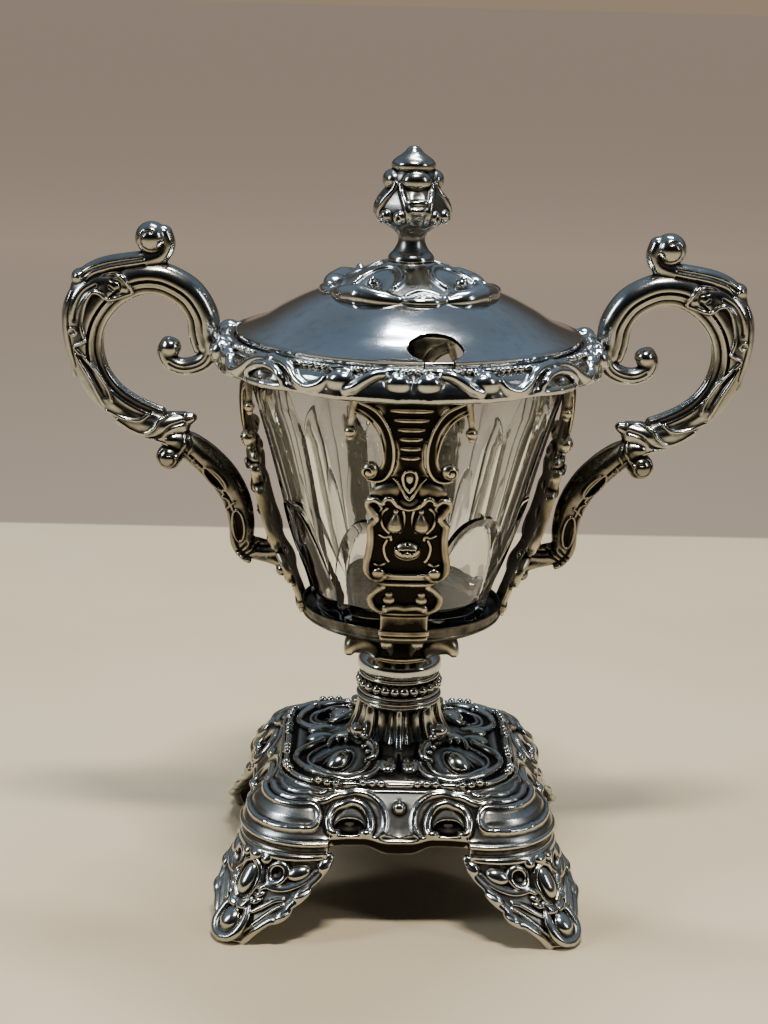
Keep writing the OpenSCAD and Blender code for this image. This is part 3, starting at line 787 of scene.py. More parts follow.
def sculpt_strap():
    """The strap modelled flat: x across it, y outwards from the cage's inside, z up."""
    clay = Clay((0, -0.8, 84.5), (19.2, 6.0, 163.6), 0.25, "x")
    slab(clay, [(15.8, 162.6), (13, 160.8), (9, 159.4), (6.8, 156), (4.8, 152), (3.7, 148), (3.8, 144), (5.2, 140.4)], 0, 1.1)
    slab(clay, [(5.5, 141), (9.8, 138), (10.6, 134), (10.2, 131), (8.5, 128), (9.9, 125.6), (10.6, 116), (10.6, 112), (8.2, 109.2),
                (7.4, 108)], 0, 1.1)
    slab(clay, [(7.4, 108.4), (8.0, 106), (9.6, 102.6), (9.2, 100), (7.3, 97.8), (7.1, 95.4), (7.1, 87.0)], 0, 1.3)
    for i, half in enumerate((5.6, 4.5, 3.5, 2.9, 2.7, 2.4)):
        z = 159.1 - i * 2.62
        clay.stroke([(0, 1.25, z, 0.72), (half * 0.6, 1.2, z, 0.68), (half, 1.0, z, 0.5)], 0.2)

    # the pair of C scrolls, each a hollow band between two beads, with a ball at its lower end
    band = [(15.8, 160.6), (11.6, 158.6), (8.0, 155.2), (6.3, 151.0), (5.9, 147), (6.3, 143.8), (7.6, 141.2), (9.8, 140.2)]
    clay.stroke([(x, 1.2, z, 1.6) for x, z in band], 0.3, (1, 1.25, 1))
    clay.stroke([(x, 2.9, z, 1.15) for x, z in band], 0.3, (1, 1.1, 1), carve=True)
    near = [(14.2, 161.0), (9.4, 158.7), (6.4, 154.6), (4.9, 150.2), (4.6, 146), (5.2, 142.6), (7.0, 139.9), (9.6, 139.1), (11.6, 139.6)]
    clay.stroke([(x, 2.1, z, 0.48) for x, z in near], 0.15)
    clay.stroke([(x, 1.9, z, 0.36) for x, z in [(15.6, 158.4), (11.6, 156.2), (8.9, 152.4), (7.5, 148), (7.4, 144.6), (8.4, 142.6)]], 0.15)
    clay.blob((11.0, 1.9, 142.3), (2.5, 2.3, 2.5), blend=0.3)
    clay.stroke([(11.0 + (1.7 - 0.2 * t) * math.cos(t + 3.6), 3.7, 142.3 + (1.7 - 0.2 * t) * math.sin(t + 3.6), 0.3)
                 for t in np.linspace(0, 5.6, 18)], 0.2, carve=True)
    clay.stroke([(15.4, 1.2, 161.4, 1.5), (16.2, 1.2, 158.6, 1.2), (16.8, 1.3, 156.0, 0.9), (17.0, 1.3, 154.0, 0.8)], 0.3)
    clay.blob((17.0, 1.5, 152.6), (1.8, 1.6, 1.5), blend=0.3)
    clay.blob((17.0, 1.4, 151.0), (0.9, 0.9, 1.0), blend=0.2)

    # the eye-shaped drop, its wings, and the two shoulders
    clay.stroke([(0, 2.0, 142.6, 0.45), (1.5, 2.0, 141.9, 0.45), (1.95, 2.0, 140.1, 0.45), (1.3, 2.1, 137.9, 0.45),
                 (0, 2.2, 136.2, 0.5)], 0.2)
    clay.blob((0, 1.2, 139.9), (1.3, 0.9, 1.8), blend=0.3)
    clay.stroke([(4.6, 1.7, 140.2, 0.3), (3.2, 1.9, 138.9, 0.38), (2.0, 2.1, 136.9, 0.42), (0.9, 2.4, 134.9, 0.5), (0, 2.5, 134.2, 0.5)], 0.2)
    clay.blob((6.0, 0.9, 136.2), (4.9, 2.1, 2.7), ((0.96, 0, -0.28), (0, 1, 0), (0.28, 0, 0.96)), 0.4)
    clay.blob((0, 0.9, 132.8), (4.0, 1.7, 2.0), blend=0.3)
    clay.stroke([(10.9, 2.5, 133.3, 0.8), (9.0, 2.8, 133.9, 0.85), (7.2, 3.1, 133.2, 0.85), (5.8, 3.2, 134.6, 0.75),
                 (4.5, 3.1, 134.2, 0.7), (3.4, 2.8, 132.6, 0.6), (1.7, 2.5, 131.5, 0.5), (0, 2.4, 131.1, 0.5)], 0.2)
    clay.blob((5.6, 3.6, 133.5), (0.8, 1.0, 0.7), blend=0.2, carve=True)

    # the cartouche's frame, its scrolled ends and lower bar
    frame_line = [(10.9, 133.4), (11.2, 131.9), (10.2, 130.0), (8.9, 128.2), (9.5, 126.9), (10.4, 125.4), (10.3, 121), (10.7, 117),
                  (11.3, 113.8), (11.0, 111.2), (9.4, 109.4), (7.4, 109.2), (6.2, 110.2)]
    clay.stroke([(x, 1.7, z, 1.15) for x, z in frame_line], 0.25, (1, 0.75, 1))
    clay.stroke([(x * 0.95, 3.4, z, 0.34) for x, z in frame_line[1:-2]], 0.2, carve=True)
    clay.blob((7.9, 2.2, 111.0), (1.9, 1.3, 1.6), blend=0.3)
    clay.shape((-6, 0.5, 108.6), (6, 3.2, 112), lambda x, y, z: np.maximum(np.maximum(np.abs(x) - 5.6, np.abs(y - 1.6) - 0.95),
                                                                         np.abs(z - 110.1) - 0.75) - 0.15, 0.3)

    # the two pears with their leaves, and the bud
    clay.blob((3.5, 2.1, 130.5), 0.85, blend=0.15)
    clay.stroke([(3.5, 1.9, 129.2, 0.75), (3.6, 1.9, 127.6, 1.5), (3.7, 1.7, 125.9, 2.25)], 0.2)
    for path in ([(5.9, 130.9), (7.2, 129.6), (7.6, 127.6), (7.0, 125.2), (5.4, 123.4)], [(1.5, 130.2), (1.1, 128.2), (1.3, 125.8), (2.2, 123.6)],
                 [(8.0, 122.6), (6.4, 121.9), (5.0, 122.2), (4.6, 121.2)], [(5.8, 121.0), (6.6, 118.8), (6.2, 116.2), (5.2, 114.4)],
                 [(8.4, 132.0), (7.6, 130.8), (8.2, 129.8)], [(9.2, 113.4), (7.8, 112.9), (6.4, 113.6)]):
        clay.stroke([(x, 1.3, z, 0.5) for x, z in path], 0.2)
    clay.blob((0, 1.5, 118.0), (3.9, 2.3, 2.9), blend=0.3)
    clay.blob((0, 3.0, 117.6), (1.2, 1.0, 0.8), blend=0.15)
    for path in ([(3.9, 119.6), (1.8, 118.6), (0, 118.7)], [(3.6, 117.4), (1.8, 116.5), (0, 116.2)], [(0, 121), (0, 119.4), (1.2, 118.2)]):
        clay.stroke(clay.drape([(x, z, 0.34) for x, z in path], 1, 0.1), 0.2, carve=True, smooth=False)

    # the vase below: a bar, scrolled sides, a shield with two knobs, and a scalloped sill
    clay.stroke([(0, 1.9, 107.4, 0.7), (6.4, 1.9, 107.4, 0.7), (8.4, 1.6, 108.0, 0.5)], 0.2)
    sides = [(6.4, 106.4), (7.8, 105.2), (9.6, 103.0), (9.9, 100.8), (8.9, 98.8), (6.9, 97.9), (5.3, 98.4)]
    clay.stroke([(x, 1.6, z, 1.1) for x, z in sides], 0.25, (1, 0.8, 1))
    clay.blob((4.7, 1.5, 101.6), (1.9, 1.4, 1.5), blend=0.5)
    clay.blob((4.7, 1.5, 103.4), (1.2, 0.8, 1.0), blend=0.5)
    clay.stroke([(0, 1.6, 98.9, 1.15), (3.0, 1.6, 99.3, 1.2), (5.4, 1.7, 98.8, 1.4)], 0.3)
    clay.stroke([(0, 1.2, 96.4, 0.5), (7.1, 1.2, 96.4, 0.5)], 0.2)
    slab(clay, [(6.8, 95.6), (6.8, 90.4)], 0.6, 1.7, 0.3)
    slab(clay, [(7.3, 90.4), (7.3, 88.6)], 0, 2.1, 0.3)
    return clay


def bend_strap(points):
    """Bends the flat strap round the cage's profile, facing the front."""
    z_list = [z for _, z in STRAP_INSIDE]
    r_list = [r for r, _ in STRAP_INSIDE]
    fine = spline(STRAP_INSIDE, 0.5)
    x, depth, z = points.T
    r = np.interp(z, fine[:, 1], fine[:, 0])
    slope = np.interp(z, fine[:, 1], np.gradient(fine[:, 0], fine[:, 1]))
    lean = np.clip(slope, -0.6, 0.6)
    length = np.sqrt(1 + lean ** 2)
    radius = r + depth / length
    height = z - depth * lean / length
    angle = x / (r + 1.5)
    return np.stack([radius * np.sin(angle), -radius * np.cos(angle), height], 1)


def build_straps():
    points, faces = sculpt_strap().mesh()
    points = bend_strap(points)
    for side, turn in STRAPS.items():
        turned_points = turn_z(points, turn)
        add_piece(f"strap_{side}_cast", turned_points, orient(turned_points, faces), [f"strap_{side}"], "root",
                  DARK)


# ---------------------------------------------------------------- plinth
LOBE = 26.5


def plan_outline(x, y):
    """Distance outside the plinth's plan: four round lobes joined by straight fronts."""
    lobe = np.hypot(x - LOBE, y - LOBE) - 21

    def front(a, b):
        p, q = a - 44, b - 20
        return np.hypot(np.maximum(p, 0), np.maximum(q, 0)) + np.minimum(np.maximum(p, q), 0) - 2

    plan = lobe
    for side in (front(x, y), front(y, x)):
        h = np.clip(0.5 + 0.5 * (side - plan) / 2.5, 0, 1)
        plan = side + (plan - side) * h - 2.5 * h * (1 - h)
    return plan


def bead_square(x, y):
    """Distance outside the rounded square that the plinth's bead row follows."""
    p, q = x - 18, y - 18
    return np.hypot(np.maximum(p, 0), np.maximum(q, 0)) + np.minimum(np.maximum(p, q), 0) - 16


def plinth_height(x, y):
    """The height of the plinth's upper side, before its ornaments."""
    out, square = plan_outline(x, y), bead_square(x, y)
    rise = np.maximum(-out, 0)
    width = rise + np.maximum(square, 0) + 1e-6
    u = np.clip(rise / width, 0, 1)
    middle = np.interp(u, [0, 0.12, 0.3, 0.55, 0.8, 1], [30.2, 30.9, 33.4, 37.6, 41.2, 43.0])
    corner = np.interp(u, [0, 0.06, 0.13, 0.27, 0.40, 0.55, 0.75, 1], [30.0, 30.4, 31.9, 35.7, 37.9, 39.0, 40.8, 43.0])
    k = smooth_step(width, 12.2, 15)
    height = middle + (corner - middle) * k
    height -= 0.5 * bump(square, 0.9, 1.0)
    height -= 0.9 * bump(square, -1.9, 1.6)
    height += 4.2 * smooth_step(-np.hypot(x, y), -31, -13) * smooth_step(-square, 2, 8)
    across = np.minimum(x, y)
    height -= 1.1 * bump(across, 0, 3.9) * smooth_step(rise, 0.5, 3) * (1 - smooth_step(rise, 5.5, 8.0))
    return height


def around_corner(radius, start, end, r, count=26):
    """Points round a corner lobe in plan, between two angles in degrees."""
    return [(LOBE + radius * math.cos(math.radians(t)), LOBE + radius * math.sin(math.radians(t)), r)
            for t in np.linspace(start, end, count)]


def on_bead_square(s, inset=0.0):
    """The point at a distance s along the bead row's path, from the middle of the front; the corner is at 30.6."""
    turn = min(max((s - 18) / 16, 0), math.pi / 2)
    along = min(s, 18) + (16 - inset) * math.sin(turn)
    back = 18 + (16 - inset) * math.cos(turn)
    return (along, back - max(0, s - 18 - 8 * math.pi))


def sculpt_plinth():
    clay = Clay((0, 0, 23.2), (49.5, 49.5, 52.5), 0.32, "xy")
    x, y, z = clay.window((0, 0, 0), (99, 99, 99))[1]
    outline = plan_outline(x, y)
    height = plinth_height(x, y)[..., 0]
    slope = np.gradient(height, clay.voxel)
    scale = np.sqrt(1 + slope[0] ** 2 + slope[1] ** 2)[..., None]
    top = (z - height[..., None]) / scale
    across = np.minimum(x, y)
    middle = 1 - smooth_step(across, 20.2, 20.9)
    lower = 24.3 + middle * (0.9 + 2.6 * smooth_step(across, 3, 10.5))
    upper = 29.0 + middle * (0.2 + 1.7 * smooth_step(across, 3, 10))
    side = outline + 0.9 + 0.9 * middle
    clay.field = np.maximum(np.maximum(top, side), (lower - z) * 0.9)
    rim = np.hypot(side - 0.15, z - upper) - 0.85
    foot_band = np.hypot(np.maximum(np.abs(z - 25.2) - 0.5, 0), np.maximum(outline + 1.2, 0)) - 0.9 + 9 * middle
    clay.merge((slice(None),) * 3, rim, 0.35)
    clay.merge((slice(None),) * 3, foot_band, 0.35)
    sheet = 1.6 + 2.0 * smooth_step(np.hypot(x, y), 9, 13)
    hollow = np.maximum(outline + 3.4 + 2.6 * middle, z - (height[..., None] - sheet))
    clay.merge((slice(None),) * 3, hollow, 0.4, True)

    def line(points, blend=0.25, lift=0.1, carve=False):
        """A ridge along points of (x, y, r) seen from above, and its twin across the corner's diagonal."""
        paths = [clay.drape(path, 2, lift, 1.0) for path in (points, [(b, a, r) for a, b, r in points])]
        for path in paths:
            clay.stroke(path, blend, carve=carve, smooth=False)

    def knob(px, py, radii, lift=0.2, blend=0.3, turn=None, carve=False):
        h = clay.drape([(px, py, 1.0)], 2, 0.0)[0][2]
        wide = np.array(radii) * np.ones(3)
        clay.blob((px, py, h + lift), wide, turn, blend, carve)
        if px != py:
            clay.blob((py, px, h + lift), wide[[1, 0, 2]], turn, blend, carve)

    # the tongue in the middle of each front, its ring, and the ridge that runs over the arches to the corners
    line([(6.3, 44.4, 0.6), (4.9, 43.6, 0.75), (4.2, 42.0, 0.8), (4.3, 40.3, 0.8), (5.4, 38.6, 0.8), (7.6, 37.2, 0.8),
          (10.5, 36.4, 1.0), (14.5, 36.1, 1.0), (18.6, 36.7, 1.0), (21.6, 37.9, 1.0), (23.6, 38.6, 1.0),
          (25.6, 38.2, 1.0)] + around_corner(11.0, 86, 45, 1.0, 12), 0.7, -0.1)
    line([(9.5, 34.4, 0.3), (14, 34.3, 0.5), (19.0, 34.9, 0.5), (22.6, 36.4, 0.5), (25.0, 36.2, 0.5)]
         + around_corner(8.6, 88, 45, 0.5, 12), 0.4, 0.0)
    knob(0, 38.7, 2.0, -0.6)
    knob(0, 38.7, 1.2, 0.6, 0.2, carve=True)
    knob(0, 38.7, 0.7, 0.1, 0.15)

    # the arches: C scrolls on their ends, with dark hollows inside
    knob(14.5, 42.8, (4.3, 2.6, 2.3), 0.4, 0.6, carve=True)
    arch = [(11.2, 43.6, 0.9), (10.2, 44.6, 1.1), (8.9, 44.2, 1.25), (8.3, 42.2, 1.35), (9.2, 40.1, 1.35), (11.4, 38.7, 1.35),
            (14.5, 38.2, 1.35), (17.6, 38.7, 1.35), (19.8, 40.1, 1.35), (20.7, 42.2, 1.35), (20.1, 44.2, 1.25), (18.8, 44.6, 1.1),
            (17.8, 43.6, 0.9)]
    line(arch, 0.5, 0.2)

    # the long loops round the corners
    loop = around_corner(18.1, 45, 94, 1.1) + [(24.2, 43.9, 1.1), (23.6, 42.4, 1.1), (23.8, 41.2, 1.1), (24.8, 40.2, 1.1)]
    loop += around_corner(13.4, 92, 45, 1.1)
    line(loop, 0.6, 0.0)

    # the bead row: groups of beads between bars, with a thin fillet outside
    for s in (5.4, 8.1, 10.8, 18.7, 21.4, 24.1):
        knob(*on_bead_square(s), (1.3, 1.3, 1.3), 0.45, 0.12)
    for start, end in ((0, 3.2), (12.9, 16.6), (26.4, 30.6)):
        line([(*on_bead_square(s), 0.85) for s in np.linspace(start, end, 9)], 0.3, 0.0)
    line([(*on_bead_square(s, -1.9), 0.45) for s in np.linspace(0, 30.6, 40)], 0.25, 0.1)

    # the field inside: cabochons on the diagonals in open double frames
    d = math.sqrt(0.5)
    lean = [[d * 0.91, d * 0.91, -0.42], [d, -d, 0], [d * 0.42, d * 0.42, 0.91]]
    knob(18.6, 18.6, (7.8, 6.6, 2.5), 1.0, 0.8, lean, True)
    knob(18.2, 18.2, (4.6, 3.2, 2.9), 1.0, 0.3, lean)
    ring = [(18.4 + d * (5.5 * math.cos(t) - 4.2 * math.sin(t)), 18.4 + d * (5.5 * math.cos(t) + 4.2 * math.sin(t)), 0.45)
            for t in np.linspace(0, 2 * math.pi, 28)]
    clay.stroke(clay.drape(ring, 2, 0.1, 0.6), 0.25, smooth=False)
    line([(5.8, 23.2, 1.2), (7.6, 27.0, 1.25), (10.8, 30.0, 1.2), (15.2, 31.2, 1.1), (19.6, 30.4, 1.1), (22.8, 28.8, 1.2),
          (25.2, 27.2, 1.4), (26.0, 26.0, 1.5)], 0.5, 0.35)
    line([(8.8, 22.0, 0.5), (10.8, 25.2, 0.6), (13.8, 27.2, 0.6), (17.4, 27.5, 0.6), (21.0, 26.3, 0.6), (23.6, 23.6, 0.6)],
         0.3, 0.2)
    knob(3.4, 23.4, (2.9, 4.8, 2.0), 0.0, 0.5)
    line([(0, 19.0, 0.6), (0, 23.2, 0.6), (0, 27.0, 0.4)], 0.3, 0.1, True)
    line([(11.6, 11.6, 2.0), (8.8, 14.2, 1.9), (7.2, 17.4, 1.5), (7.6, 20.2, 1.2), (9.6, 21.2, 0.9)], 0.4, 0.6)
    knob(12.0, 12.0, 2.9, 1.3, 0.5)
    for a, b, r in ((14.6, 10.4, 1.2), (10.6, 15.8, 1.0), (9.4, 18.4, 0.9)):
        knob(a, b, r, 1.3, 0.2)
    return clay


def quadrants(points, faces):
    """The four quarters of a mesh: each one's name, the rows of its points, and its faces."""
    centre = points[faces].mean(1)
    for name, sx, sy in (("front_right", 1, -1), ("front_left", -1, -1), ("back_right", 1, 1), ("back_left", -1, 1)):
        chosen = faces[((centre[:, 0] >= 0) == (sx > 0)) & ((centre[:, 1] >= 0) == (sy > 0))]
        rows, back = np.unique(chosen, return_inverse=True)
        yield name, rows, back.reshape(chosen.shape)


def build_quartered(clay, name, node, body, material, shade=None):
    """Makes a wide piece as four quarters, with the whole mesh's normals, so that their joints don't show."""
    points, faces = clay.mesh()
    cavity, normal = cavity_of(points, faces), vertex_normals(points, faces)
    if shade:
        cavity = cavity + shade(points)
    for quarter, rows, part_faces in quadrants(points, faces):
        add_piece(f"{name}_{quarter}", points[rows], part_faces, [node], body, material, cavity[rows],
                  normals=normal[rows])


def field_darkening_and_hollow_shade(points):
    """The plinth's field inside the bead row is made a little darker, and its sunk hollows are made nearly black with
    painted shade.
    """
    x, y, z = np.abs(points).T
    sunk = smooth_step(plinth_height(x, y) - z, 0.7, 1.8) * (1 - smooth_step(np.minimum(x, y), 18.5, 20))
    return -0.08 * smooth_step(-bead_square(x, y), 0.5, 3.0) - 0.5 * sunk


def build_plinth():
    build_quartered(sculpt_plinth(), "plinth", "plinth", "root", PLINTH, field_darkening_and_hollow_shade)


# ---------------------------------------------------------------- feet
FOOT_RADIUS = [(0, 30.6), (5, 29.2), (8.7, 27.2), (12.5, 24.9), (16, 23.0), (20, 20.6), (25, 18.8)]


def sculpt_foot():
    """One foot modelled flat: x along the corner's arc, y outwards and z up."""
    clay = Clay((0, -4.6, -0.2), (25, 7, 26.4), 0.24, "x")
    edge = [(4.6, 0.3), (6.0, 1.6), (8.4, 4.6), (11.6, 7.8), (13.8, 8.6), (15.4, 9.8), (15.8, 12.2), (17.4, 13.8), (18.6, 15.4),
            (18.8, 17.6), (20.4, 19.6), (21.8, 22.0), (22.4, 24.4), (22.4, 25.4)]
    fine = spline(edge, 0.4)

    def web(x, y, z):
        return np.maximum(np.maximum((np.abs(x) - np.interp(z, fine[:, 1], fine[:, 0])) * 0.75, np.abs(y) - 1.1),
                          np.maximum(z - 25.4, 0.3 - z))

    clay.shape((-25, -1.4, 0), (25, 1.4, 26), web, 0.3)
    clay.stroke([(a - 0.2, 0.9, b, 1.35) for a, b in edge[:-1]], 0.8)
    clay.stroke([(5.4, 1.6, 4.2, 0.5), (8.2, 1.3, 7.4, 0.5), (11.2, 1.2, 10.6, 0.5), (13.4, 1.2, 12.2, 0.5)], 0.4)
    for a, b, size in ((14.6, 10.0, (2.3, 1.6, 1.5)), (17.6, 15.6, (2.5, 1.7, 1.7)), (21.0, 22.6, (1.9, 1.5, 2.0))):
        clay.blob((a, 1.3, b), size, ((0.87, 0, 0.5), (0, 1, 0), (-0.5, 0, 0.87)), 0.6)
        clay.stroke([(a - 2.4, 2.8, b - 0.3, 0.4), (a - 0.6, 3.1, b + 0.3, 0.45), (a + 1.2, 2.5, b + 1.2, 0.3)], 0.4, carve=True)

    # the toe: a roll round a polished ball, with two buds above it
    clay.blob((0, 0.3, 3.6), (5.8, 4.7, 4.2), blend=0.8)
    clay.blob((0, -0.5, 1.0), (6.0, 4.9, 1.2), blend=0.5)
    clay.stroke([(3.5, 1.8, 10.2, 1.0), (4.5, 2.6, 7.6, 1.3), (4.3, 3.8, 4.6, 1.45), (2.5, 4.7, 2.5, 1.4), (0, 5.1, 1.9, 1.4)], 0.4)
    clay.blob((0, 2.9, 6.2), (3.0, 2.7, 3.1), blend=0.25)
    clay.stroke([(0.9, 2.2, 10.2, 1.2), (2.3, 2.3, 10.6, 1.3), (3.2, 1.9, 12.0, 1.0)], 0.4)

    # the cabochon with its border, and the ribs beside it
    clay.blob((0, 1.2, 16.8), (4.8, 1.8, 6.6), blend=0.8)
    clay.stroke([(0, 2.9, 22.6, 0.7), (2.5, 2.7, 21.0, 0.7), (3.6, 2.4, 17.4, 0.7), (3.0, 2.5, 13.8, 0.65), (1.4, 2.7, 12.0, 0.5)], 0.35)
    clay.stroke([(0, 3.1, 21.2, 0.6), (2.0, 3.0, 19.7, 0.6), (2.7, 2.7, 17.1, 0.6), (2.2, 2.9, 14.2, 0.6), (0, 3.1, 12.6, 0.6)], 0.3,
                carve=True)
    clay.blob((0, 2.4, 17.0), (2.4, 2.0, 4.2), blend=0.25)
    for a, b in ((5.6, 15.9), (5.5, 14.0), (5.2, 12.1)):
        clay.stroke([(a - 1.7, 1.5, b - 0.5, 0.6), (a, 2.0, b, 0.85), (a + 1.2, 1.4, b + 0.4, 0.5)], 0.3)

    # the leaf wings: hollows, pads, scrolls, and the moulding at the top
    clay.stroke([(0, 1.8, 24.7, 1.1), (7, 1.7, 24.7, 1.1), (15, 1.4, 24.8, 0.9), (21.5, 1.2, 24.9, 0.7)], 0.4)
    clay.blob((0, 2.2, 23.8), (2.2, 1.7, 1.5), blend=0.4)
    clay.blob((3.9, 2.0, 23.3), (1.7, 1.5, 1.5), blend=0.4)
    ring = [(8.2 + 2.6 * math.cos(t), 1.5, 20.0 + 2.6 * math.sin(t), 0.95) for t in np.linspace(0, 2 * math.pi, 20)]
    clay.stroke(ring, 0.4)
    clay.blob((8.2, 1.9, 20.0), (1.7, 1.5, 1.7), blend=0.3, carve=True)
    clay.blob((14.2, 1.2, 20.6), (3.2, 1.6, 2.0), ((0.98, 0, 0.17), (0, 1, 0), (-0.17, 0, 0.98)), 0.4)
    clay.stroke([(6.4, 1.8, 16.6, 0.8), (9.4, 1.4, 16.2, 0.95), (12.8, 1.2, 16.6, 0.95), (16.6, 1.3, 18.4, 0.8), (19.0, 1.3, 21.0, 0.5)], 0.5)
    clay.stroke([(5.8, 1.8, 9.6, 0.7), (8.0, 1.5, 11.2, 0.85), (10.6, 1.3, 13.0, 0.7), (12.8, 1.3, 13.6, 0.5)], 0.5)
    return clay


def bend_foot(points):
    """Bends the flat foot round the back right corner's lobe, and leans it out to the toe."""
    curve = spline([(r, z) for z, r in FOOT_RADIUS], 0.5)
    radius = np.interp(points[:, 2], curve[:, 1], curve[:, 0])
    angle = math.pi / 4 + points[:, 0] / (radius + 1)
    reach = radius + points[:, 1]
    return np.stack([LOBE + reach * np.cos(angle), LOBE + reach * np.sin(angle), points[:, 2]], 1)


def build_feet():
    points, faces = sculpt_foot().mesh()
    points = bend_foot(points)
    for name, turn in (("back_right", 0), ("back_left", 90), ("front_left", 180), ("front_right", 270)):
        turned_points = turn_z(points, turn)
        add_piece(f"foot_{name}_cast", turned_points, orient(turned_points, faces), [f"foot_{name}"], "root",
                  PLINTH)


# ---------------------------------------------------------------- border
def sculpt_border():
    clay = Clay((0, 0, 161.6), (60.5, 60.5, 173.2), 0.3, "xy")

    def body(x, y, z):
        r, a = np.hypot(x, y), np.degrees(np.arctan2(x, y))
        a = np.where(a > 45, 90 - a, a)
        swell = 0.7 * bump(a, 4.6, 4.6) + 0.7 * bump(a, 20.5, 4.8) + 0.5 * bump(a, 45, 9)
        outer = np.interp(z, [162.4, 163.0, 164.0, 165.4, 167.0, 168.4, 169.4, 170.3], [56.0, 57.1, 57.7, 57.4, 56.8, 56.0, 55.0, 52.8])
        outer = outer + swell
        low = 162.6 + 0.8 * smooth_step(a, 24, 34) - 0.5 * bump(a, 12, 6) * 0.4
        return np.maximum(np.maximum((r - outer) * 0.8, 48.7 - r), np.maximum(low - z, z - 170.3))

    clay.shape((0, 0, 160), (61, 61, 173), body, 0.3)
    clay.shape((0, 0, 160), (61, 61, 173), lambda x, y, z: np.maximum(np.abs(np.hypot(x, y) - 52.1) - 0.6, np.abs(z - 168) - 3.4), 0.4)
    clay.shape((0, 0, 160), (61, 61, 173), lambda x, y, z: np.maximum(np.abs(np.hypot(x, y) - 47.7) - 1.0, np.abs(z - 163.0) - 0.5), 0.3)

    def place(a, r, z):
        return (r * math.sin(math.radians(a)), r * math.cos(math.radians(a)), z)

    def line(points, blend=0.25, carve=False):
        """A stroke along points of (angle from the front, radius, z, thickness), and its twin towards the side."""
        for path in (points, [(90 - a, r, z, t) for a, r, z, t in points]):
            clay.stroke([(*place(a, r, z), t) for a, r, z, t in path], blend, carve=carve)

    def knob(a, r, z, size, blend=0.3, carve=False):
        for angle in (a, 90 - a):
            c, s = math.cos(math.radians(angle)), math.sin(math.radians(angle))
            clay.blob(place(angle, r, z), size, ((c, -s, 0), (s, c, 0), (0, 0, 1)), blend, carve)

    # the paired knuckles at the middle, a wave, and the next knuckle
    knob(4.2, 55.4, 168.0, (3.7, 2.7, 2.8), 0.9)
    knob(0, 59.0, 168.4, (0.6, 2.4, 3.6), 0.7, True)
    knob(4.4, 57.0, 171.2, (1.0, 1.1, 1.1), 0.25, True)
    knob(14.0, 58.6, 167.4, (4.2, 1.3, 1.6), 0.8, True)
    line([(8.2, 54.6, 170.3, 1.0), (11.0, 55.6, 170.0, 1.3), (13.6, 56.7, 168.6, 1.3), (16.0, 57.4, 166.8, 1.2),
          (18.4, 57.6, 165.8, 0.9)], 0.8)
    knob(20.6, 55.4, 167.8, (4.3, 2.9, 3.0), 0.9)
    knob(20.4, 56.8, 171.3, (1.0, 1.1, 1.1), 0.25, True)
    line([(17.8, 54.6, 170.6, 0.7), (20.6, 53.8, 171.0, 0.7), (23.8, 54.6, 170.8, 0.7)], 0.4)
    knob(29.4, 58.4, 168.9, (3.8, 1.8, 1.8), 0.8, True)
    line([(24.8, 56.4, 168.4, 1.0), (26.4, 57.2, 166.4, 1.2), (30.0, 57.5, 165.4, 1.2), (33.6, 56.9, 166.8, 1.25),
          (36.6, 55.8, 169.2, 1.3), (40.0, 54.8, 170.5, 1.4), (45.0, 54.4, 170.9, 1.4)], 0.8)
    # the dark oval on the diagonal inside its arched ridges
    line([(37.6, 57.6, 165.4, 0.9), (38.8, 57.8, 167.4, 1.1), (41.4, 57.2, 169.0, 1.15), (45.0, 56.8, 169.6, 1.15)], 0.6)
    line([(36.4, 57.2, 164.6, 0.9), (40.0, 57.8, 164.4, 1.1), (45.0, 58.2, 164.4, 1.1)], 0.6)
    clay.blob(place(45, 58.2, 167.3), (3.4, 1.7, 1.5), ((0.707, -0.707, 0), (0.707, 0.707, 0), (0, 0, 1)), 0.3, True)
    # the spiral shells beside each handle; the front has none, so these aren't mirrored
    for a, r, z, size in ((72.5, 56.6, 168.6, 3.6), (80.5, 55.4, 169.4, 2.6)):
        clay.blob(place(a, r, z), size, blend=0.6)
        coil = []
        for t in np.linspace(0, 8.6, 30):
            reach = size * (0.98 - 0.09 * t)
            out = math.sqrt(max(0.0, size ** 2 - reach ** 2))
            coil.append((*place(a + 1.0 * reach * math.cos(t + 2.4), r + out + 0.05, z + reach * math.sin(t + 2.4)), 0.36))
        clay.stroke(coil, 0.25, carve=True)
    clay.stroke([(*place(84.0, 55.6, 166.4), 2.2), (*place(88.0, 56.4, 167.0), 3.0), (*place(90, 56.8, 167.2), 3.2)], 0.8)

    # the row of pearls and beads inside
    for k in range(6):
        start = 7.5 + 15 * k
        clay.stroke([(*place(start + s, 53.6, 170.7), t) for s, t in ((-2.3, 0.7), (0, 1.15), (2.3, 0.7))], 0.12)
        for offset in (-6.3, -4.35, 4.35, 6.3):
            clay.blob(place(start + offset, 53.6, 170.8), 0.95, blend=0.12)
    return clay


def build_border():
    build_quartered(sculpt_border(), "border", "rim_border", "root", BORDER)


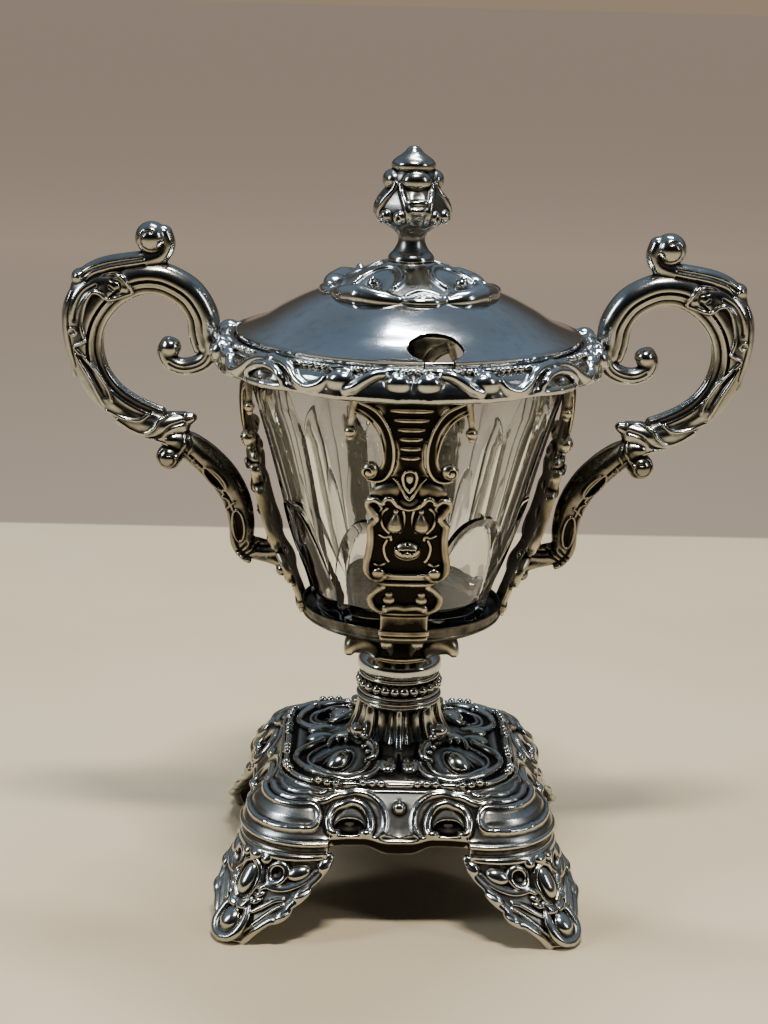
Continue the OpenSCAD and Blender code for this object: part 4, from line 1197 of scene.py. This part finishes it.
# ---------------------------------------------------------------- lid's boss and finial
def sculpt_boss():
    clay = Clay((0, 0, 181.4), (28.5, 28.5, 195), 0.28, "xy")
    d = math.sqrt(0.5)

    def body(x, y, z):
        r, a = np.hypot(x, y), np.arctan2(x, y)
        height = np.interp(r, [0, 6.6, 8, 12, 17, 22, 25.5, 26.6], [193.5, 193.4, 192.7, 191.0, 188.8, 186.4, 184.6, 183.6])
        outer = 24.4 + 0.6 * np.cos(4 * a) ** 2
        return np.maximum(np.maximum((z - height) * 0.9, r - outer), np.interp(r, [0, 27], [187.5, 181.9]) - z)

    clay.shape((0, 0, 181), (29, 29, 196), body, 0.3)

    def both(points, blend=0.25, lift=0.15, carve=False):
        paths = [clay.drape(path, 2, lift, 0.8) for path in (points, [(b, a, r) for a, b, r in points])]
        for path in paths:
            clay.stroke(path, blend, carve=carve, smooth=False)

    # round recesses on the diagonals, each with an arched rim, a bead and a thick rolled lip
    lean = [[d * 0.9, d * 0.9, -0.43], [d, -d, 0], [d * 0.43, d * 0.43, 0.9]]
    clay.blob((12.2, 12.2, 190.4), (6.6, 6.8, 2.5), lean, 0.6, True)
    rim = [(11.4 + 7.2 * math.cos(t), 11.4 + 7.2 * math.sin(t), 0.8) for t in np.linspace(math.radians(125), math.radians(325), 30)]
    clay.stroke(clay.drape(rim, 2, 0.2, 0.8), 0.4, smooth=False)
    lip = [(4.4, 22.6, 184.4, 1.2), (8.0, 22.6, 184.8, 2.0), (12.2, 21.4, 185.2, 2.8), (15.6, 19.0, 185.6, 3.2), (17.4, 17.4, 185.7, 3.3)]
    for path in (lip, [(b, a, z, r) for a, b, z, r in lip]):
        clay.stroke(path, 0.7)
    clay.blob((12.8, 12.8, 188.6), (2.0, 2.0, 1.7), blend=0.5)
    clay.blob((13.2, 13.2, 190.0), (1.0, 1.0, 0.8), blend=0.3)
    for a, b in ((20.4, 10.4), (10.4, 20.4)):
        clay.blob((a, b, 185.8), (2.6, 2.6, 1.9), blend=1.2)

    # small cartouches with an oval boss in the middle of each side
    both([(0, 21.8, 0.5), (2.2, 22.1, 0.5), (3.7, 23.2, 0.55), (2.8, 24.5, 0.55), (0, 25.0, 0.55)], 0.25)
    for a, b in ((0, 23.3), (23.3, 0)):
        clay.blob((a, b, 185.7), (2.1, 1.0, 1.0) if a == 0 else (1.0, 2.1, 1.0), blend=0.25)
    both([(0, 25.6, 1.3), (2.4, 25.4, 1.3), (4.6, 24.4, 1.2), (6.0, 23.2, 1.1)], 0.5, -0.4)
    both([(0, 19.6, 0.5), (2.6, 20.2, 0.55), (4.8, 21.4, 0.5)], 0.4)
    clay.shape((0, 0, 190), (8, 8, 195), lambda x, y, z: np.maximum(np.hypot(x, y) - 7.3, np.abs(z - 192.8) - 0.6), 0.3)
    return clay


FINIAL = [(0.2, 193.5), (6.3, 193.5), (6.8, 194.4), (6.3, 195.4), (5.2, 196.6), (4.3, 198.2), (3.9, 199.8), (4.3, 201.2),
          (6.0, 202.8), (8.4, 204.2), (10.2, 206.0), (11.0, 208.2), (10.7, 210.4), (9.4, 212.6), (8.0, 214.4), (7.2, 216.4),
          (6.6, 218.4), (6.0, 219.6), (6.4, 220.6), (6.3, 221.8), (5.2, 223.0), (3.7, 224.0), (2.5, 225.0), (1.9, 225.8),
          (1.1, 226.4), (0.2, 226.5)]


def sculpt_finial():
    clay = Clay((0, 0, 192.8), (12.4, 12.4, 227), 0.2, "xy")
    core = spline(FINIAL, 0.2)

    def body(x, y, z):
        waist = 1 - 0.13 * np.sin(2 * np.arctan2(x, y)) ** 2 * bump(z, 209.5, 7.5)
        reach = (np.hypot(x, y) / waist - np.interp(z, core[:, 1], core[:, 0])) * 0.75
        return np.maximum(reach, np.maximum(193.5 - z, z - 226.5))

    clay.shape((0, 0, 193.4), (12.3, 12.3, 226.7), body, 0.2)

    def panel(path, blend=0.35, lift=0.0, carve=False):
        """A line of (x, z, r) laid on the front panel, and its twin on the side panel."""
        front = clay.drape(path, 1, lift, 0.8)
        for line in (front, [(y, x, z, r) for x, y, z, r in front]):
            clay.stroke(line, blend, carve=carve, smooth=False)

    # each panel is a tongue that runs in under a thick roll, between two rails that curl out at the foot
    rail = [(4.5, 216.0, 0.8), (4.3, 213.8, 0.9), (3.7, 211.2, 0.95), (3.1, 208.8, 0.9), (2.7, 206.6, 0.8), (2.4, 205.2, 0.6)]
    steps = [[(0, z, 0.9), (1.2, z, 0.85), (2.4, z, 0.7)] for z in (208.8, 211.0)]
    laid = [clay.drape(path, 1, lift, 0.8) for path, lift in [(rail, 0.15)] + [(step, -0.55) for step in steps]]
    panel([(0, 209.6, 1.6), (0, 211.6, 2.1), (0, 214.0, 2.6)], 0.9, 1.1, True)
    for path in laid[1:] + laid[:1]:
        for line in (path, [(y, x, z, r) for x, y, z, r in path]):
            clay.stroke(line, 0.6, smooth=False)
    clay.blob((0, 5.9, 216.9), (4.3, 3.1, 3.1), blend=0.35)
    clay.blob((5.9, 0, 216.9), (3.1, 4.3, 3.1), blend=0.35)
    for px, py in ((4.9, 8.3), (8.3, 4.9)):
        clay.blob((px, py, 206.9), 2.1, blend=0.5)
        clay.blob((px * 1.23, py * 1.23, 206.6), 0.8, blend=0.3, carve=True)
    return clay


def build_lid_ornaments():
    for clay, name, node in ((sculpt_boss(), "lid_boss_cast", "lid_boss"), (sculpt_finial(), "finial_cast", "finial")):
        points, faces = clay.mesh()
        points = turn_z(points, LID_TURN)
        add_piece(name, points, orient(points, faces), [node], "lid", BORDER if node == "lid_boss" else CAST)


# ---------------------------------------------------------------- calyx
def build_calyx():
    clay = Clay((0, 0, 72.4), (25, 25, 84.6), 0.28, "xy")
    cup = spline([(0.2, 73), (10.8, 73), (11.3, 75), (12.4, 77.4), (15.4, 80.4), (19.6, 82.8), (21.6, 84.0)], 0.3)

    def body(x, y, z):
        r = np.hypot(x, y)
        return np.maximum((r - np.interp(z, cup[1:, 1], cup[1:, 0])) * 0.7, np.maximum(73 - z, z - 84))

    clay.shape((0, 0, 72), (25, 25, 85), body, 0.2)
    for a in (45, 15, 75):
        c, s = math.cos(math.radians(a)), math.sin(math.radians(a))
        size = 1.0 if a == 45 else 0.5
        leaf = [(10.6, 73.6, 1.2), (11.6, 76.0, 2.4), (14.2, 78.8, 3.6), (17.8, 80.4, 3.9), (20.6, 79.8, 2.7), (22.2, 78.2, 1.6)]
        if a != 45:
            leaf = leaf[:4]
        clay.stroke([(c * r, s * r, z + (1 - size) * 2, t * size) for r, z, t in leaf], 0.5)
        clay.stroke([(c * (r + 0.4), s * (r + 0.4), z - 2.1 * size, 0.4) for r, z in ((13.4, 76.4), (16.6, 77.6), (20.6, 77.4))], 0.3, carve=True)
    clay.shape((0, 0, 82), (26, 26, 85), lambda x, y, z: np.maximum(np.hypot(x, y) - 22.0, np.abs(z - 83.5) - 0.5), 0.3)
    sculpt(clay, "calyx_leaves", ["calyx"], "root", DARK)


# ---------------------------------------------------------------- stage, lights and camera
def look_at(target, start, roll=0.0):
    direction = Vector(target) - Vector(start)
    turn = direction.to_track_quat("-Z", "Y")
    from mathutils import Quaternion
    return turn @ Quaternion((0, 0, 1), math.radians(roll))


def build_stage():
    """A flat floor, pale round the vase and darker beyond, where painted light makes it glow more with distance."""
    mesh = bpy.data.meshes.new("floor")
    mesh.from_pydata([(-150, -150, 0), (150, -150, 0), (150, 150, 0), (-150, 150, 0)], [], [(0, 1, 2, 3)])
    floor = bpy.data.objects.new("floor", mesh)
    bpy.context.scene.collection.objects.link(floor)
    mesh.materials.append(paper_floor())


def add_light(name, place, target, size, power, colour):
    lamp = bpy.data.lights.new(name, "AREA")
    lamp.shape = "RECTANGLE"
    lamp.size, lamp.size_y = size
    lamp.energy = power
    lamp.color = colour
    light = bpy.data.objects.new(name, lamp)
    light.location = place
    light.rotation_mode = "QUATERNION"
    light.rotation_quaternion = look_at(target, place)
    bpy.context.scene.collection.objects.link(light)


def build_lights():
    """A room that is dark in front, tan at the sides, with cool lamps overhead."""
    world = bpy.data.worlds.new("room")
    bpy.context.scene.world = world
    world.use_nodes = True
    tree = world.node_tree
    back = tree.nodes["Background"]
    split = tree.nodes.new("ShaderNodeSeparateXYZ")
    tree.links.new(tree.nodes.new("ShaderNodeTexCoord").outputs["Generated"], split.inputs[0])

    def ramp(axis, stops):
        spread = tree.nodes.new("ShaderNodeMapRange")
        spread.inputs[1].default_value = -1.0
        node = tree.nodes.new("ShaderNodeValToRGB")
        tree.links.new(split.outputs[axis], spread.inputs[0])
        tree.links.new(spread.outputs[0], node.inputs[0])
        node.color_ramp.elements[0].position, node.color_ramp.elements[0].color = stops[0]
        node.color_ramp.elements[1].position, node.color_ramp.elements[1].color = stops[-1]
        for place, colour in stops[1:-1]:
            node.color_ramp.elements.new(place).color = colour
        return node.outputs[0]

    upright = ramp("Z", [(0.0, (0.04, 0.035, 0.03, 1)), (0.492, (0.29, 0.225, 0.165, 1)), (0.508, (0.29, 0.225, 0.165, 1)),
                         (0.53, (0.09, 0.078, 0.068, 1)), (0.62, (0.12, 0.11, 0.10, 1)),
                         (0.76, (0.20, 0.25, 0.31, 1)), (1.0, (0.17, 0.23, 0.30, 1))])
    depth = ramp("Y", [(0.0, (0.10, 0.10, 0.11, 1)), (0.3, (0.22, 0.22, 0.22, 1)), (0.55, (1, 1, 1, 1))])
    product = tree.nodes.new("ShaderNodeMix")
    product.data_type, product.blend_type = "RGBA", "MULTIPLY"
    product.inputs[0].default_value = 1.0
    tree.links.new(upright, product.inputs[6])
    tree.links.new(depth, product.inputs[7])
    tree.links.new(product.outputs[2], back.inputs[0])
    back.inputs[1].default_value = 1.0
    add_light("ceiling_back", (0.10, 0.30, 1.25), (0, 0.05, 0.05), (0.45, 0.12), 6.0, (0.88, 0.94, 1.0))
    add_light("ceiling_lamp", (0.05, -0.40, 1.30), (0, 0.05, 0.05), (0.32, 0.10), 11.0, (1.0, 0.97, 0.93))
    add_light("window_left", (-0.95, -0.30, 0.70), (0, 0, 0.12), (0.16, 0.5), 3.6, (0.86, 0.93, 1.0))
    add_light("window_right", (0.90, -0.45, 0.62), (0, 0, 0.12), (0.08, 0.5), 1.6, (0.96, 0.97, 1.0))


def build_camera():
    camera = bpy.data.cameras.new("camera")
    camera.sensor_width = 36.0
    camera.sensor_fit = "AUTO"
    camera.lens = 36.0 * 1850 / 1024
    view = bpy.data.objects.new("camera", camera)
    place = Vector((-0.0160, -0.5403, 0.266))
    pitch, yaw = math.radians(15.4), math.radians(1.7 - 0.64)
    forward = Vector((math.sin(yaw) * math.cos(pitch), math.cos(yaw) * math.cos(pitch), -math.sin(pitch)))
    view.location = place
    view.rotation_mode = "QUATERNION"
    view.rotation_quaternion = look_at(place + forward, place, CAMERA_ROLL)
    bpy.context.scene.collection.objects.link(view)
    bpy.context.scene.camera = view


CAMERA_ROLL = 1.48
build_stage()
build_lights()
build_camera()
build_glass()
build_stem()
build_collar_and_dish()
build_lid()
build_handles()
build_straps()
build_plinth()
build_feet()
build_border()
build_lid_ornaments()
build_calyx()
for node in ("tie_rod", "tie_washer", "tie_nut", "finial_stud", "finial_washer", "finial_nut"):
    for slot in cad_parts[node].material_slots:
        slot.material = STEEL
bpy.context.scene.view_settings.view_transform = "AgX"
bpy.context.scene.view_settings.look = "AgX - Medium High Contrast"

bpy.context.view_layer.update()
